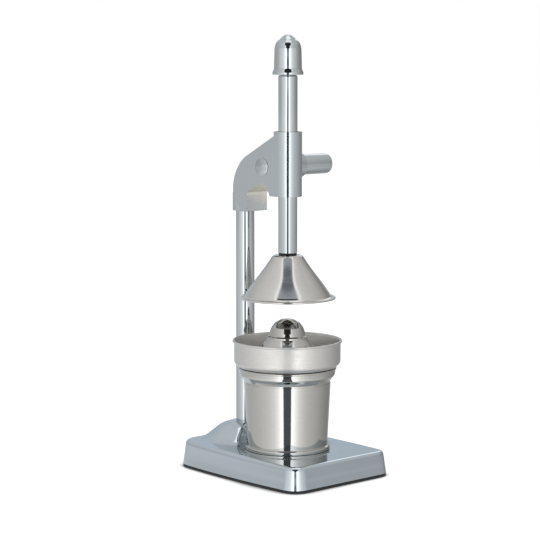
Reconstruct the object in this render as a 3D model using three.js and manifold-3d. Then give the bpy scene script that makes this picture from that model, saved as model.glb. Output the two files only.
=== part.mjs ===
// Lever citrus juice press: a rack and pinion press with a cup and a strainer on a cast base.
// Millimetres, +Z up. The origin is on the table, under the axis of the plunger.
// The front is -Y, the column stands behind at +Y, and the lever is on the right, at +X.
import * as THREE from 'three';
import { mergeVertices, toCreasedNormals } from 'three/addons/utils/BufferGeometryUtils.js';
import Module from 'manifold-3d';

const wasm = await Module();
wasm.setup();

// Driving dimensions
const GAP = 0.3;                  // air left between pieces that touch
const ROUND = 30;                 // sides of a large round piece
const MIDDLE_ROUND = 28;          // sides of the rod, the column and the sleeve
const SMALL_ROUND = 20;           // sides of a small round piece
const SCREW_ROUND = 10;           // sides of a screw

const BASE_FRONT = -86.2;         // plan of the base
const BASE_BACK = 107;
const BASE_FRONT_WIDTH = 139.6;
const BASE_MIDDLE_WIDTH = 143;
const BASE_BACK_WIDTH = 130;
const BASE_FRONT_CORNER = 16;
const BASE_BACK_CORNER = 22;
const BASE_WALL = 4;
const BASE_DRAFT = 0.15;          // how far the walls lean in, per mm of height
const BASE_EDGE_RADIUS = 4.5;
const BASE_TOP = 26.45;           // height of the top at the front of the pocket
const BASE_TOP_SLOPE = 0.012;     // the top rises a little towards the back
const PAD_THICKNESS = 2.4;
const PAD_INSET = 0.4;            // the pad's edge lies this far inside the shell's
const POCKET_RADIUS = 52;         // round pocket that the cup stands in
const POCKET_FLOOR = 26.5;

const COLUMN_Y = 66.6;
const COLUMN_RADIUS = 10;
const COLUMN_BOTTOM = 14.3;
const COLUMN_TOP = 300;
const HUMP_HEIGHT = 18.2;         // hump of the base round the column
const HUMP_INNER = 12;
const HUMP_OUTER = 50;
const HUMP_SKEW = 1.25;

const HEAD_HALF_WIDTH = 14.8;     // casting and sleeve share this half width
const SLEEVE_BOTTOM = 291.2;
const SLEEVE_TOP = 358.3;
const SLEEVE_BORE = 12.6;
const LEG_BOTTOM = 272.8;
const LEG_FRONT = 48;
const LEG_BACK = 69.5;
const SOCKET_RADIUS = 13.4;
const CHEEK_INSIDE = 8.5;         // half width of the chamber between the cheeks

const PINION_Y = 23.9;            // pinion axis, behind the plunger
const PINION_Z = 321.2;
const MODULE = 1.5;
const PINION_TEETH = 22;
const PRESSURE_ANGLE = 20 * Math.PI / 180;
const BACKLASH = 0.16;
const GEAR_WIDTH = 10;
const RACK_TEETH = 27;
const RACK_CENTRE = 318.2;
const SHAFT_RADIUS = 6;
const BOSS_END = 38.3;
const BOSS_RADIUS = 13.5;
const HUB_START = 38.8;
const HUB_END = 78.8;
const HUB_RADIUS = 10.9;
const ARM_X = 65;
const ARM_RADIUS = 6;
const ARM_LENGTH = 88;            // from the pinion axis to the end of the grip

const ROD_RADIUS = 10;
const ROD_BOTTOM = 232.2;
const ROD_SHOULDER = 416.5;
const ROD_TOP = 436;
const KNOB_BOTTOM = 416.8;
const CONE_TOP = 230.3;
const CONE_BRIM = 185.4;
const CONE_SHEET = 1.2;

const CUP_PLACE = [-1.8, -1.5];   // the cup stands a little off the plunger's axis in its pocket
const SEAT = POCKET_FLOOR + GAP;  // underside of the cup's foot
const CUP_SHEET = 1.1;
const BOWL_SHEET = 1.1;
const STRAINER_SHEET = 1.2;
const STRAINER_TOP = 163.5;

const RACK_PITCH_Y = PINION_Y - MODULE * PINION_TEETH / 2;

// Materials
const chrome = () => new THREE.MeshStandardMaterial({ color: 0xc6ccd2, roughness: 0.12, metalness: 1 });
const castChrome = () => new THREE.MeshStandardMaterial({ color: 0xb4bcc2, roughness: 0.3, metalness: 1 });
const satinSteel = () => new THREE.MeshStandardMaterial({ color: 0xbcbab2, roughness: 0.28, metalness: 1 });
const steel = () => new THREE.MeshStandardMaterial({ color: 0x9a9da0, roughness: 0.4, metalness: 1 });
const bronze = () => new THREE.MeshStandardMaterial({ color: 0xa5803f, roughness: 0.45, metalness: 1 });
const blackRubber = () => new THREE.MeshStandardMaterial({ color: 0x1b1b1d, roughness: 0.8, metalness: 0 });
const blackPlastic = () => new THREE.MeshStandardMaterial({ color: 0x202022, roughness: 0.5, metalness: 0 });

// Solids from three.js geometry
function signedVolume(position, index) {
  const a = new THREE.Vector3();
  const b = new THREE.Vector3();
  const c = new THREE.Vector3();
  let volume = 0;
  for (let i = 0; i < index.length; i += 3) {
    a.fromBufferAttribute(position, index[i]);
    b.fromBufferAttribute(position, index[i + 1]);
    c.fromBufferAttribute(position, index[i + 2]);
    volume += a.dot(b.cross(c)) / 6;
  }
  return volume;
}

function solid(geometry) {
  const bare = new THREE.BufferGeometry();
  bare.setAttribute('position', geometry.getAttribute('position').clone());
  if (geometry.index) bare.setIndex(geometry.index.clone());
  const merged = mergeVertices(bare, 1e-4);
  const position = merged.getAttribute('position');
  const index = Uint32Array.from(merged.index.array);
  if (signedVolume(position, index) < 0) {
    for (let i = 0; i < index.length; i += 3) {
      [index[i + 1], index[i + 2]] = [index[i + 2], index[i + 1]];
    }
  }
  const vertices = Float32Array.from(position.array);
  return new wasm.Manifold(new wasm.Mesh({ numProp: 3, vertProperties: vertices, triVerts: index }));
}

function geometryOf(manifold) {
  const mesh = manifold.getMesh();
  const geometry = new THREE.BufferGeometry();
  geometry.setAttribute('position', new THREE.Float32BufferAttribute(mesh.vertProperties, 3));
  geometry.setIndex(new THREE.BufferAttribute(mesh.triVerts, 1));
  return toCreasedNormals(geometry, Math.PI / 7);
}

const unite = (...solids) => solids.reduce((sum, next) => sum.add(next));
const cut = (body, ...tools) => tools.reduce((rest, tool) => rest.subtract(tool), body);

// A profile of [radius, height] points, turned about the Z axis.
function turned(profile, sides) {
  const points = profile.map(([radius, height]) => new THREE.Vector2(radius, height));
  return solid(new THREE.LatheGeometry(points, sides).rotateX(Math.PI / 2));
}

function cylinder(radius, bottom, top, sides = SMALL_ROUND) {
  return turned([[0, bottom], [radius, bottom], [radius, top], [0, top]], sides);
}

function tube(outer, inner, bottom, top, sides = SMALL_ROUND) {
  return turned([[inner, bottom], [outer, bottom], [outer, top], [inner, top], [inner, bottom]], sides);
}

// Turns a piece made along +Z so that it lies along +X or along +Y.
const alongX = (body) => body.rotate([0, 90, 0]);
const alongY = (body) => body.rotate([-90, 0, 0]);

function box(x0, x1, y0, y1, z0, z1) {
  const geometry = new THREE.BoxGeometry(x1 - x0, y1 - y0, z1 - z0);
  return solid(geometry.translate((x0 + x1) / 2, (y0 + y1) / 2, (z0 + z1) / 2));
}

// An outline in the YZ plane, extruded both ways along X, with its edges bevelled if asked.
function plate(shape, halfWidth, bevel = 0) {
  const geometry = new THREE.ExtrudeGeometry(shape, {
    depth: 2 * (halfWidth - bevel),
    bevelEnabled: bevel > 0,
    bevelSize: bevel,
    bevelThickness: bevel,
    bevelOffset: -bevel,
    bevelSegments: 1,
  });
  geometry.translate(0, 0, -(halfWidth - bevel));
  const axes = new THREE.Matrix4().makeBasis(
    new THREE.Vector3(0, 1, 0), new THREE.Vector3(0, 0, 1), new THREE.Vector3(1, 0, 0));
  return solid(geometry.applyMatrix4(axes));
}

function outline(points) {
  return new THREE.Shape(points.map(([a, b]) => new THREE.Vector2(a, b)));
}

// Points of an arc, with its ends, angles in degrees.
function arc(centreA, centreB, radius, from, to, steps) {
  return Array.from({ length: steps + 1 }, (_, i) => {
    const angle = (from + (to - from) * i / steps) * Math.PI / 180;
    return [centreA + radius * Math.cos(angle), centreB + radius * Math.sin(angle)];
  });
}

// A hexagonal head or recess along Z.
function hexagon(acrossFlats, bottom, top) {
  return turned([[0, bottom], [acrossFlats / Math.sqrt(3), bottom],
    [acrossFlats / Math.sqrt(3), top], [0, top]], 6);
}

// Base plan
function baseHalfWidth(y) {
  const t = (y - BASE_FRONT) / (BASE_BACK - BASE_FRONT);
  const front = BASE_FRONT_WIDTH * (1 - t) * (1 - 2 * t);
  const middle = BASE_MIDDLE_WIDTH * 4 * t * (1 - t);
  const back = BASE_BACK_WIDTH * t * (2 * t - 1);
  const cornerLoss = (distance, radius) => (distance >= radius ? 0
    : radius - Math.sqrt(radius ** 2 - (radius - distance) ** 2));
  return (front + middle + back) / 2
    - cornerLoss(y - BASE_FRONT, BASE_FRONT_CORNER) - cornerLoss(BASE_BACK - y, BASE_BACK_CORNER);
}

// The plan outline, anticlockwise, with the same number of points at every inset.
function basePlan(inset) {
  const cornerSteps = 4;
  const sideSteps = 6;
  const edgeSteps = 3;
  const stations = [];
  for (let i = 0; i <= cornerSteps; i++) {
    stations.push(BASE_FRONT + BASE_FRONT_CORNER * (1 - Math.cos(i / cornerSteps * Math.PI / 2)));
  }
  const straight = BASE_BACK - BASE_BACK_CORNER - BASE_FRONT - BASE_FRONT_CORNER;
  for (let i = 1; i < sideSteps; i++) {
    stations.push(BASE_FRONT + BASE_FRONT_CORNER + straight * i / sideSteps);
  }
  for (let i = cornerSteps; i >= 0; i--) {
    stations.push(BASE_BACK - BASE_BACK_CORNER * (1 - Math.cos(i / cornerSteps * Math.PI / 2)));
  }
  const right = stations.map((y) => new THREE.Vector2(baseHalfWidth(y), y));
  const left = stations.map((y) => new THREE.Vector2(-baseHalfWidth(y), y)).reverse();
  const edge = (from, to) => Array.from({ length: edgeSteps - 1 },
    (_, i) => from.clone().lerp(to, (i + 1) / edgeSteps));
  const loop = [...right, ...edge(right.at(-1), left[0]), ...left, ...edge(left.at(-1), right[0])];
  return loop.map((point, i) => {
    const before = loop[(i - 1 + loop.length) % loop.length];
    const after = loop[(i + 1) % loop.length];
    const along = after.clone().sub(before).normalize();
    return new THREE.Vector2(point.x - along.y * inset, point.y + along.x * inset);
  });
}

const topPlane = (y) => BASE_TOP + BASE_TOP_SLOPE * (y + POCKET_RADIUS);

function humpRise(radius) {
  const t = THREE.MathUtils.clamp((radius - HUMP_INNER) / (HUMP_OUTER - HUMP_INNER), 0, 1);
  return HUMP_HEIGHT * (0.5 + 0.5 * Math.cos(Math.PI * t ** HUMP_SKEW));
}

// Stacks closed loops of points into one solid, closed at both ends.
function loft(loops) {
  const count = loops[0].length;
  const positions = loops.flat().flatMap((point) => [point.x, point.y, point.z]);
  const index = [];
  for (let k = 0; k + 1 < loops.length; k++) {
    for (let i = 0; i < count; i++) {
      const j = (i + 1) % count;
      const [a, b, c, d] = [k * count + i, k * count + j, (k + 1) * count + i, (k + 1) * count + j];
      index.push(a, b, d, a, d, c);
    }
  }
  const close = (loop, first, flip) => {
    const centre = loop.reduce((sum, point) => sum.add(point), new THREE.Vector3()).divideScalar(count);
    const tip = positions.length / 3;
    positions.push(centre.x, centre.y, centre.z);
    for (let i = 0; i < count; i++) {
      const j = (i + 1) % count;
      index.push(tip, first + (flip ? j : i), first + (flip ? i : j));
    }
  };
  close(loops[0], 0, true);
  close(loops.at(-1), (loops.length - 1) * count, false);
  const geometry = new THREE.BufferGeometry();
  geometry.setAttribute('position', new THREE.Float32BufferAttribute(positions, 3));
  geometry.setIndex(index);
  return solid(geometry);
}

function prism(plan, bottom, top) {
  return loft([bottom, top].map((z) => plan.map((point) => new THREE.Vector3(point.x, point.y, z))));
}

const SHELL_BOTTOM = PAD_THICKNESS + GAP;
const CAVITY_TOP = 21.5;
const COLUMN_BOSS_RADIUS = 17;
const COLUMN_BOSS_BOTTOM = 9.5;
const SCREW_PLACES = [[-46, -68], [46, -68], [-48, 78], [48, 78]];

function baseSkin() {
  const loops = [];
  const level = (inset, height) => loops.push(basePlan(inset).map((point) => (
    new THREE.Vector3(point.x, point.y, height(point.y)))));
  level(0, () => SHELL_BOTTOM);
  const leanIn = BASE_DRAFT * (BASE_TOP - BASE_EDGE_RADIUS - SHELL_BOTTOM);
  const edgeSteps = 3;
  for (let i = 0; i <= edgeSteps; i++) {
    const angle = i / edgeSteps * Math.PI / 2;
    level(leanIn + BASE_EDGE_RADIUS * (1 - Math.cos(angle)),
      (y) => topPlane(y) - BASE_EDGE_RADIUS * (1 - Math.sin(angle)));
  }
  const rim = loops.at(-1);
  const humpRadii = [HUMP_OUTER, 45, 40, 35, 30, 25, 19, HUMP_INNER];
  for (const radius of humpRadii) {
    loops.push(rim.map((point) => {
      const reach = Math.hypot(point.x, point.y - COLUMN_Y);
      const squeeze = Math.min(1, (reach - 2 - COLUMN_RADIUS) / (HUMP_OUTER - COLUMN_RADIUS));
      const distance = COLUMN_RADIUS + (radius - COLUMN_RADIUS) * squeeze;
      const x = point.x * distance / reach;
      const y = COLUMN_Y + (point.y - COLUMN_Y) * distance / reach;
      return new THREE.Vector3(x, y, topPlane(y) + humpRise(radius));
    }));
  }
  return loft(loops);
}

function makeBaseShell() {
  const ribHalf = 1.5;
  const ribs = [
    box(-ribHalf, ribHalf, BASE_FRONT, BASE_BACK, COLUMN_BOSS_BOTTOM, CAVITY_TOP),
    ...[-40, 10].map((y) => box(-80, 80, y - ribHalf, y + ribHalf, COLUMN_BOSS_BOTTOM, CAVITY_TOP)),
  ];
  const bosses = SCREW_PLACES.map(([x, y]) => (
    cylinder(5.5, SHELL_BOTTOM + 0.5, CAVITY_TOP + 0.5, 12).translate([x, y, 0])));
  const columnBoss = cylinder(COLUMN_BOSS_RADIUS, COLUMN_BOSS_BOTTOM, CAVITY_TOP + 0.5, 24)
    .translate([0, COLUMN_Y, 0]);
  const hollow = cut(prism(basePlan(BASE_WALL + 2.6), SHELL_BOTTOM - 1, CAVITY_TOP),
    ...ribs, ...bosses, columnBoss);
  const pocket = cylinder(POCKET_RADIUS, POCKET_FLOOR, POCKET_FLOOR + 40, 48);
  const columnBore = cylinder(COLUMN_RADIUS + GAP, COLUMN_BOTTOM - GAP, 80, MIDDLE_ROUND).translate([0, COLUMN_Y, 0]);
  const boltHole = cylinder(4.4, 0, COLUMN_BOTTOM, 20).translate([0, COLUMN_Y, 0]);
  const screwHoles = SCREW_PLACES.map(([x, y]) => cylinder(2.2, 0, 15, SCREW_ROUND).translate([x, y, 0]));
  return cut(baseSkin(), hollow, pocket, columnBore, boltHole, ...screwHoles);
}

function makeBasePad() {
  const sinks = SCREW_PLACES.map(([x, y]) => (
    turned([[0, -1], [4.4, -1], [4.4, 0.9], [2.3, 3], [2.3, 5], [0, 5]], SCREW_ROUND).translate([x, y, 0])));
  return cut(prism(basePlan(PAD_INSET), 0, PAD_THICKNESS), ...sinks);
}

const makePadScrew = () => turned(
  [[0, 0.5], [3.9, 0.5], [3.9, 0.8], [1.9, 2.8], [1.9, 13], [0, 14]], SCREW_ROUND);

// Column
function makeColumn() {
  const chamfer = 1;
  const body = turned([[0, COLUMN_BOTTOM], [COLUMN_RADIUS - chamfer, COLUMN_BOTTOM],
    [COLUMN_RADIUS, COLUMN_BOTTOM + chamfer], [COLUMN_RADIUS, COLUMN_TOP - chamfer],
    [COLUMN_RADIUS - chamfer, COLUMN_TOP], [0, COLUMN_TOP]], MIDDLE_ROUND);
  return cut(body, cylinder(4.3, COLUMN_BOTTOM - 1, COLUMN_BOTTOM + 28, 16));
}

const BOLT_HEAD_TOP = 7.7;

function makeColumnBolt() {
  return unite(hexagon(13, 3.9, BOLT_HEAD_TOP), cylinder(4, BOLT_HEAD_TOP - 1, COLUMN_BOTTOM + 24, 16));
}

const makeColumnWasher = () => tube(9, 4.4, BOLT_HEAD_TOP + GAP, COLUMN_BOSS_BOTTOM - GAP, 20);

// Head casting: its side outline, from the front of the sleeve down and round
const ARCH_TOP = 304;
const GUSSET_SLOPE = -0.522;      // the upper edge falls towards the back
const ROOF = 2.3;                 // wall left over the pinion
const gussetEdge = (y) => 352.8 + GUSSET_SLOPE * (y - 7.6);

function headOutline() {
  const backArcRadius = 41.9;
  const backArcCentre = [LEG_BACK - backArcRadius, 295.2];
  const gussetAngle = 90 + Math.atan(GUSSET_SLOPE) * 180 / Math.PI;
  return outline([
    [-1, SLEEVE_BOTTOM],
    [12, SLEEVE_BOTTOM],
    [14.6, 296.7],
    [17.4, 300.6],
    [21.3, 303.4],
    [25.3, ARCH_TOP],
    [29.6, 303.1],
    [45.3, 295],
    [47.3, 293.2],
    [LEG_FRONT, 290.5],
    [LEG_FRONT, LEG_BOTTOM + 0.6],
    [LEG_FRONT + 0.6, LEG_BOTTOM],
    [LEG_BACK - 1.5, LEG_BOTTOM],
    [LEG_BACK, LEG_BOTTOM + 1.5],
    ...arc(...backArcCentre, backArcRadius, 0, gussetAngle, 7),
    [-1, gussetEdge(-1)],
  ]);
}

const socketTop = 302;

function makeHeadCasting() {
  const sleeve = turned([[0, SLEEVE_BOTTOM], [HEAD_HALF_WIDTH - 1, SLEEVE_BOTTOM],
    [HEAD_HALF_WIDTH, SLEEVE_BOTTOM + 1], [HEAD_HALF_WIDTH, SLEEVE_TOP - 1],
    [HEAD_HALF_WIDTH - 1, SLEEVE_TOP], [0, SLEEVE_TOP]], MIDDLE_ROUND);
  const socket = turned([[0, LEG_BOTTOM], [SOCKET_RADIUS - 1, LEG_BOTTOM], [SOCKET_RADIUS, LEG_BOTTOM + 1],
    [SOCKET_RADIUS, 290], ...arc(SOCKET_RADIUS - 12, 290, 12, 25, 90, 3), [0, 302]], MIDDLE_ROUND)
    .translate([0, COLUMN_Y, 0]);
  const boss = turned([[0, 5], [BOSS_RADIUS, 5], [BOSS_RADIUS, BOSS_END - 0.8],
    [BOSS_RADIUS - 0.8, BOSS_END], [0, BOSS_END]], 28);
  const chamber = plate(outline([
    [8, 302.5],
    [15.4, 302.5],
    [15.4, 260],
    [LEG_FRONT, 260],
    [LEG_FRONT, gussetEdge(LEG_FRONT) - ROOF],
    [22.5, gussetEdge(22.5) - ROOF],
    [8, gussetEdge(22.5) - ROOF],
  ]), CHEEK_INSIDE);
  const onPinionAxis = (body) => alongX(body).translate([0, PINION_Y, PINION_Z]);
  const body = unite(plate(headOutline(), HEAD_HALF_WIDTH, 0.9), sleeve, socket, onPinionAxis(boss));
  const setScrewHole = alongY(cylinder(3, 0, 20, SCREW_ROUND)).translate([0, COLUMN_Y + 5, 283]);
  return cut(body, chamber,
    cylinder(SLEEVE_BORE, SLEEVE_BOTTOM - 1, SLEEVE_TOP + 1, MIDDLE_ROUND),
    cylinder(COLUMN_RADIUS + GAP, LEG_BOTTOM - 1, COLUMN_TOP + GAP, MIDDLE_ROUND).translate([0, COLUMN_Y, 0]),
    onPinionAxis(cylinder(SHAFT_RADIUS + 2.4, -20, 0)),
    onPinionAxis(cylinder(SHAFT_RADIUS + 2.8, 0, BOSS_END + 1)),
    setScrewHole);
}

function makeHeadSetScrew() {
  const body = turned([[0, 0], [2.3, 0], [2.7, 0.5], [2.7, 3.6], [2.2, 4.1], [0, 4.1]], SCREW_ROUND);
  return cut(body, hexagon(3, 2, 5));
}

const makeGuideBush = (length) => tube(SLEEVE_BORE - GAP, ROD_RADIUS + GAP, 0, length, MIDDLE_ROUND);

const makePivotCap = () => turned([[0, -0.6], [7.6, -0.6], [7.6, GAP], [9.5, GAP], [9.5, 1],
  ...arc(0, -16.4, 19.4, 63, 90, 4).map(([radius, height]) => [Math.max(radius, 0), height])], SMALL_ROUND);

const makeLeftShaftBush = () => tube(SHAFT_RADIUS + 2.1, SHAFT_RADIUS + 0.2, 0, 5.2);
const makeRightShaftBush = () => tube(SHAFT_RADIUS + 2.5, SHAFT_RADIUS + 0.2, 0, 28.6);

// Pinion: involute teeth, with a gap facing the rack
function involutePoint(baseRadius, radius, offset, side) {
  const roll = Math.sqrt((radius / baseRadius) ** 2 - 1);
  const angle = offset - side * (roll - Math.atan(roll));
  return [radius * Math.cos(angle), radius * Math.sin(angle)];
}

function pinionOutline() {
  const pitch = MODULE * PINION_TEETH / 2;
  const base = pitch * Math.cos(PRESSURE_ANGLE);
  const tip = pitch + MODULE;
  const root = pitch - 1.25 * MODULE;
  const flankSteps = 1;
  const involute = Math.tan(PRESSURE_ANGLE) - PRESSURE_ANGLE;
  const halfTooth = Math.PI / 2 / PINION_TEETH - BACKLASH / 4 / pitch + involute;
  const points = [];
  for (let tooth = 0; tooth < PINION_TEETH; tooth++) {
    const middle = Math.PI + (tooth + 0.5) * 2 * Math.PI / PINION_TEETH;
    const start = Math.max(base, root);
    const radii = Array.from({ length: flankSteps + 1 }, (_, i) => start + (tip - start) * i / flankSteps);
    points.push([root * Math.cos(middle - halfTooth), root * Math.sin(middle - halfTooth)]);
    points.push(...radii.map((radius) => involutePoint(base, radius, middle - halfTooth, -1)));
    points.push(...radii.reverse().map((radius) => involutePoint(base, radius, middle + halfTooth, 1)));
    points.push([root * Math.cos(middle + halfTooth), root * Math.sin(middle + halfTooth)]);
  }
  return outline(points);
}

const KEY_SIZE = 3;

function makePinionGear() {
  const collar = alongX(cylinder(10, -CHEEK_INSIDE + GAP, CHEEK_INSIDE - GAP));
  const keyway = box(-20, 20, -KEY_SIZE / 2 - GAP, KEY_SIZE / 2 + GAP, 0, SHAFT_RADIUS + 1.9);
  return cut(unite(plate(pinionOutline(), GEAR_WIDTH / 2), collar),
    alongX(cylinder(SHAFT_RADIUS + GAP, -20, 20)), keyway);
}

const SHAFT_LEFT = -13.6;
const SHAFT_RIGHT = ARM_X - 7.5;

function makePinionShaft() {
  const bar = alongX(turned([[0, SHAFT_LEFT], [SHAFT_RADIUS - 0.8, SHAFT_LEFT], [SHAFT_RADIUS, SHAFT_LEFT + 0.8],
    [SHAFT_RADIUS, SHAFT_RIGHT - 0.8], [SHAFT_RADIUS - 0.8, SHAFT_RIGHT], [0, SHAFT_RIGHT]], SMALL_ROUND));
  const keyway = box(-6, 6, -KEY_SIZE / 2 - GAP, KEY_SIZE / 2 + GAP, SHAFT_RADIUS - 2, SHAFT_RADIUS + 1);
  const flat = box(HUB_START + 4, HUB_START + 13, -8, 8, -SHAFT_RADIUS - 1, -SHAFT_RADIUS + 0.7);
  return cut(bar, keyway, flat);
}

const makePinionKey = () => box(-5.5, 5.5, -KEY_SIZE / 2, KEY_SIZE / 2,
  SHAFT_RADIUS - 2 + GAP, SHAFT_RADIUS + 1.6);

const HUB_SCREW_X = HUB_START + 8.5;

function makeLeverHub() {
  const end = 2.6;
  const body = alongX(turned([[0, HUB_START], [HUB_RADIUS - 0.9, HUB_START], [HUB_RADIUS, HUB_START + 0.9],
    ...arc(HUB_RADIUS - end, HUB_END - end, end, 0, 90, 3), [0, HUB_END]], 28));
  const shaftBore = alongX(cylinder(SHAFT_RADIUS + GAP, HUB_START - 1, SHAFT_RIGHT + GAP));
  const armBore = alongY(cylinder(ARM_RADIUS - 1 + GAP, -6, 20)).translate([ARM_X, 0, 0]);
  const screwHole = cylinder(2.8, -20, -3, SCREW_ROUND).translate([HUB_SCREW_X, 0, 0]);
  return cut(body, shaftBore, armBore, screwHole);
}

function makeHubSetScrew() {
  const inner = SHAFT_RADIUS - 0.7 + GAP;
  const body = turned([[0, -10.2], [2.1, -10.2], [2.5, -9.8], [2.5, -inner - 0.5], [2, -inner], [0, -inner]], SCREW_ROUND);
  return cut(body, hexagon(2.6, -11, -8.2));
}

const GRIP_LENGTH = 46;

function makeLeverArm() {
  const neck = ARM_RADIUS - 1;
  const shoulder = HUB_RADIUS + GAP;
  const gripStart = ARM_LENGTH - GRIP_LENGTH;
  return alongY(turned([[0, -5.5], [neck - 0.5, -5.5], [neck, -5], [neck, shoulder], [ARM_RADIUS, shoulder],
    [ARM_RADIUS, gripStart - GAP], [4, gripStart - GAP], [4, ARM_LENGTH - 5], [0, ARM_LENGTH - 5]], SMALL_ROUND));
}

function makeLeverGrip() {
  const start = ARM_LENGTH - GRIP_LENGTH;
  const body = turned([[0, start], [6.4, start], [7, start + 1], [7.6, start + GRIP_LENGTH / 2],
    [8, ARM_LENGTH - 8], ...arc(0, ARM_LENGTH - 8, 8, 25, 90, 3)
      .map(([radius, height]) => [Math.max(radius, 0), height])], SMALL_ROUND);
  return alongY(cut(body, cylinder(4 + GAP, start - 1, ARM_LENGTH - 4.5, 20)));
}

// Plunger
function makePlungerRod() {
  const topChamfer = 1;
  const body = turned([[0, ROD_BOTTOM], [ROD_RADIUS - 0.8, ROD_BOTTOM], [ROD_RADIUS, ROD_BOTTOM + 0.8],
    [ROD_RADIUS, ROD_SHOULDER - 2 * topChamfer], [ROD_RADIUS - topChamfer, ROD_SHOULDER],
    [6.5, ROD_SHOULDER], [6.5, ROD_TOP], [0, ROD_TOP]], MIDDLE_ROUND);
  const toothPitch = Math.PI * MODULE;
  const tipY = RACK_PITCH_Y + MODULE;
  const rootY = RACK_PITCH_Y - 1.25 * MODULE;
  const halfRack = RACK_TEETH * toothPitch / 2;
  const flat = box(-12, 12, tipY, 12, RACK_CENTRE - halfRack, RACK_CENTRE + halfRack);
  const halfGap = (y) => toothPitch / 4 + BACKLASH / 4 + (y - RACK_PITCH_Y) * Math.tan(PRESSURE_ANGLE);
  const space = plate(outline([[rootY, -halfGap(rootY)], [12, -halfGap(12)],
    [12, halfGap(12)], [rootY, halfGap(rootY)]]), 12);
  const firstTooth = Math.ceil((RACK_CENTRE - halfRack - PINION_Z) / toothPitch);
  const spaces = Array.from({ length: RACK_TEETH - 1 }, (_, i) => (
    space.translate([0, 0, PINION_Z + (firstTooth + i + 0.5) * toothPitch])));
  const screwThread = cylinder(4.3, ROD_BOTTOM - 1, ROD_BOTTOM + 16, 16);
  return cut(body, flat, screwThread, ...spaces);
}

function makeTopKnob() {
  const body = turned([
    [0, KNOB_BOTTOM], [15.6, KNOB_BOTTOM], [16.1, KNOB_BOTTOM + 0.6], [16, KNOB_BOTTOM + 2.4],
    [14.9, KNOB_BOTTOM + 4.8], [14.4, KNOB_BOTTOM + 6.8], [14.3, KNOB_BOTTOM + 18],
    [13.7, KNOB_BOTTOM + 29], [12.9, KNOB_BOTTOM + 31.6], [11.1, KNOB_BOTTOM + 34.2], [8.9, KNOB_BOTTOM + 36],
    ...arc(0, KNOB_BOTTOM + 32.2, 9, 30, 90, 4).map(([radius, height]) => [Math.max(radius, 0), height]),
  ], MIDDLE_ROUND);
  return cut(body, cylinder(6.5 + GAP, KNOB_BOTTOM - 1, ROD_TOP + 0.5));
}

const makeConeGasket = () => tube(9.6, 4.6, CONE_TOP + GAP, ROD_BOTTOM - GAP);

// Sheet-metal profile: the outer line shifted in by the sheet's thickness, at the points that are kept.
function sheetInside(points, thickness, keep = () => true) {
  const shifted = points.map((point, i) => {
    const before = points[Math.max(i - 1, 0)];
    const after = points[Math.min(i + 1, points.length - 1)];
    const length = Math.hypot(after[0] - before[0], after[1] - before[1]);
    const normal = [-(after[1] - before[1]) / length, (after[0] - before[0]) / length];
    return [point[0] + normal[0] * thickness, point[1] + normal[1] * thickness];
  });
  return shifted.filter((_, i) => keep(i)).reverse();
}

// A spun sheet: its outer line, then the same line shifted in, with the bead of its rim between.
function spun(outerLine, thickness, rim, keep, sides = ROUND) {
  const loop = [...outerLine, ...rim, ...sheetInside(outerLine, thickness, keep)];
  return turned([...loop, loop[0]], sides);
}

function makePressCone() {
  const rim = arc(49.3, CONE_BRIM, 1, -150, 90, 4);
  const line = [
    [46.6, CONE_BRIM + 1.2], [45.3, CONE_BRIM + 2.1], [44.5, CONE_BRIM + 3.6],
    [16.7, CONE_TOP - 2.1], [15.7, CONE_TOP - 0.7], [14.3, CONE_TOP], [4.6, CONE_TOP],
  ];
  const inside = sheetInside(line, CONE_SHEET, (i) => i !== 4);
  return turned([...rim, ...line, ...inside, rim[0]], ROUND);
}

const CONE_INSIDE = CONE_TOP - CONE_SHEET;

const makeConeWasher = () => tube(9, 4.6, CONE_INSIDE - GAP - 1, CONE_INSIDE - GAP, 16);

function makeConeScrew() {
  const headTop = CONE_INSIDE - 2 * GAP - 1;
  const body = turned([[0, headTop - 2.4], [4.6, headTop - 2.4], [6.8, headTop - 1], [6.8, headTop],
    [4, headTop], [4, ROD_BOTTOM + 13], [0, ROD_BOTTOM + 14]], 16);
  return cut(body, hexagon(5, headTop - 4, headTop - 0.8));
}

// Cup and strainer, which draw forward together
function makeJuiceCup() {
  const line = [
    [42.6, SEAT + 0.8], [44.1, SEAT + 1.2], [44.7, SEAT + 2.3], [44.1, SEAT + 3.4], [42, SEAT + 4.2],
    [45.6, 97], [44.6, 98.4], [46.6, 101.5], [50.2, 105.4], [50.5, 106.6], [50.5, 110.6],
  ];
  const rim = arc(50.6, 111.8, 1.1, -60, 170, 4);
  const inside = sheetInside(line, CUP_SHEET, (i) => [4, 5, 7, 8, 9].includes(i));
  return turned([[0, SEAT + 1.4], [39, SEAT + 1.4], [39, SEAT], [42.6, SEAT], ...line, ...rim, ...inside,
    [0, inside.at(-1)[1]]], ROUND);
}

const BOWL_LEDGE = 107.2;

function makeStrainerBowl() {
  const line = [
    [44, BOWL_LEDGE - BOWL_SHEET], [48.2, BOWL_LEDGE - BOWL_SHEET], [48.8, BOWL_LEDGE - 0.5],
    [48.8, 112.6], [49.4, 113.4], [51.6, 113.8], [55.2, 117.6], [55.8, 118.9], [55.8, 138.9],
  ];
  return spun(line, BOWL_SHEET, arc(56.4, 140.3, 1.2, -110, 160, 4), (i) => ![2, 6].includes(i));
}

const HOLE_ROWS = [[27.4, 6, 33, 8], [34.6, 10, 0, 6], [41.2, 12, 0, 5]];   // radius, count, angle, sides
const STRAINER_LINE = [
  [47.2, BOWL_LEDGE + GAP], [47.2, BOWL_LEDGE + GAP + STRAINER_SHEET], [45, 109.4], [37.9, 119.8],
  [31.2, 129.7], [24.1, 139.3], [21.3, 143.2], [21, 145], [19.4, 146],
  [18.6, 149.3], [16.6, 154.6], [12.8, 159.6], [6.8, 162.8], [0, STRAINER_TOP],
];

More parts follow.
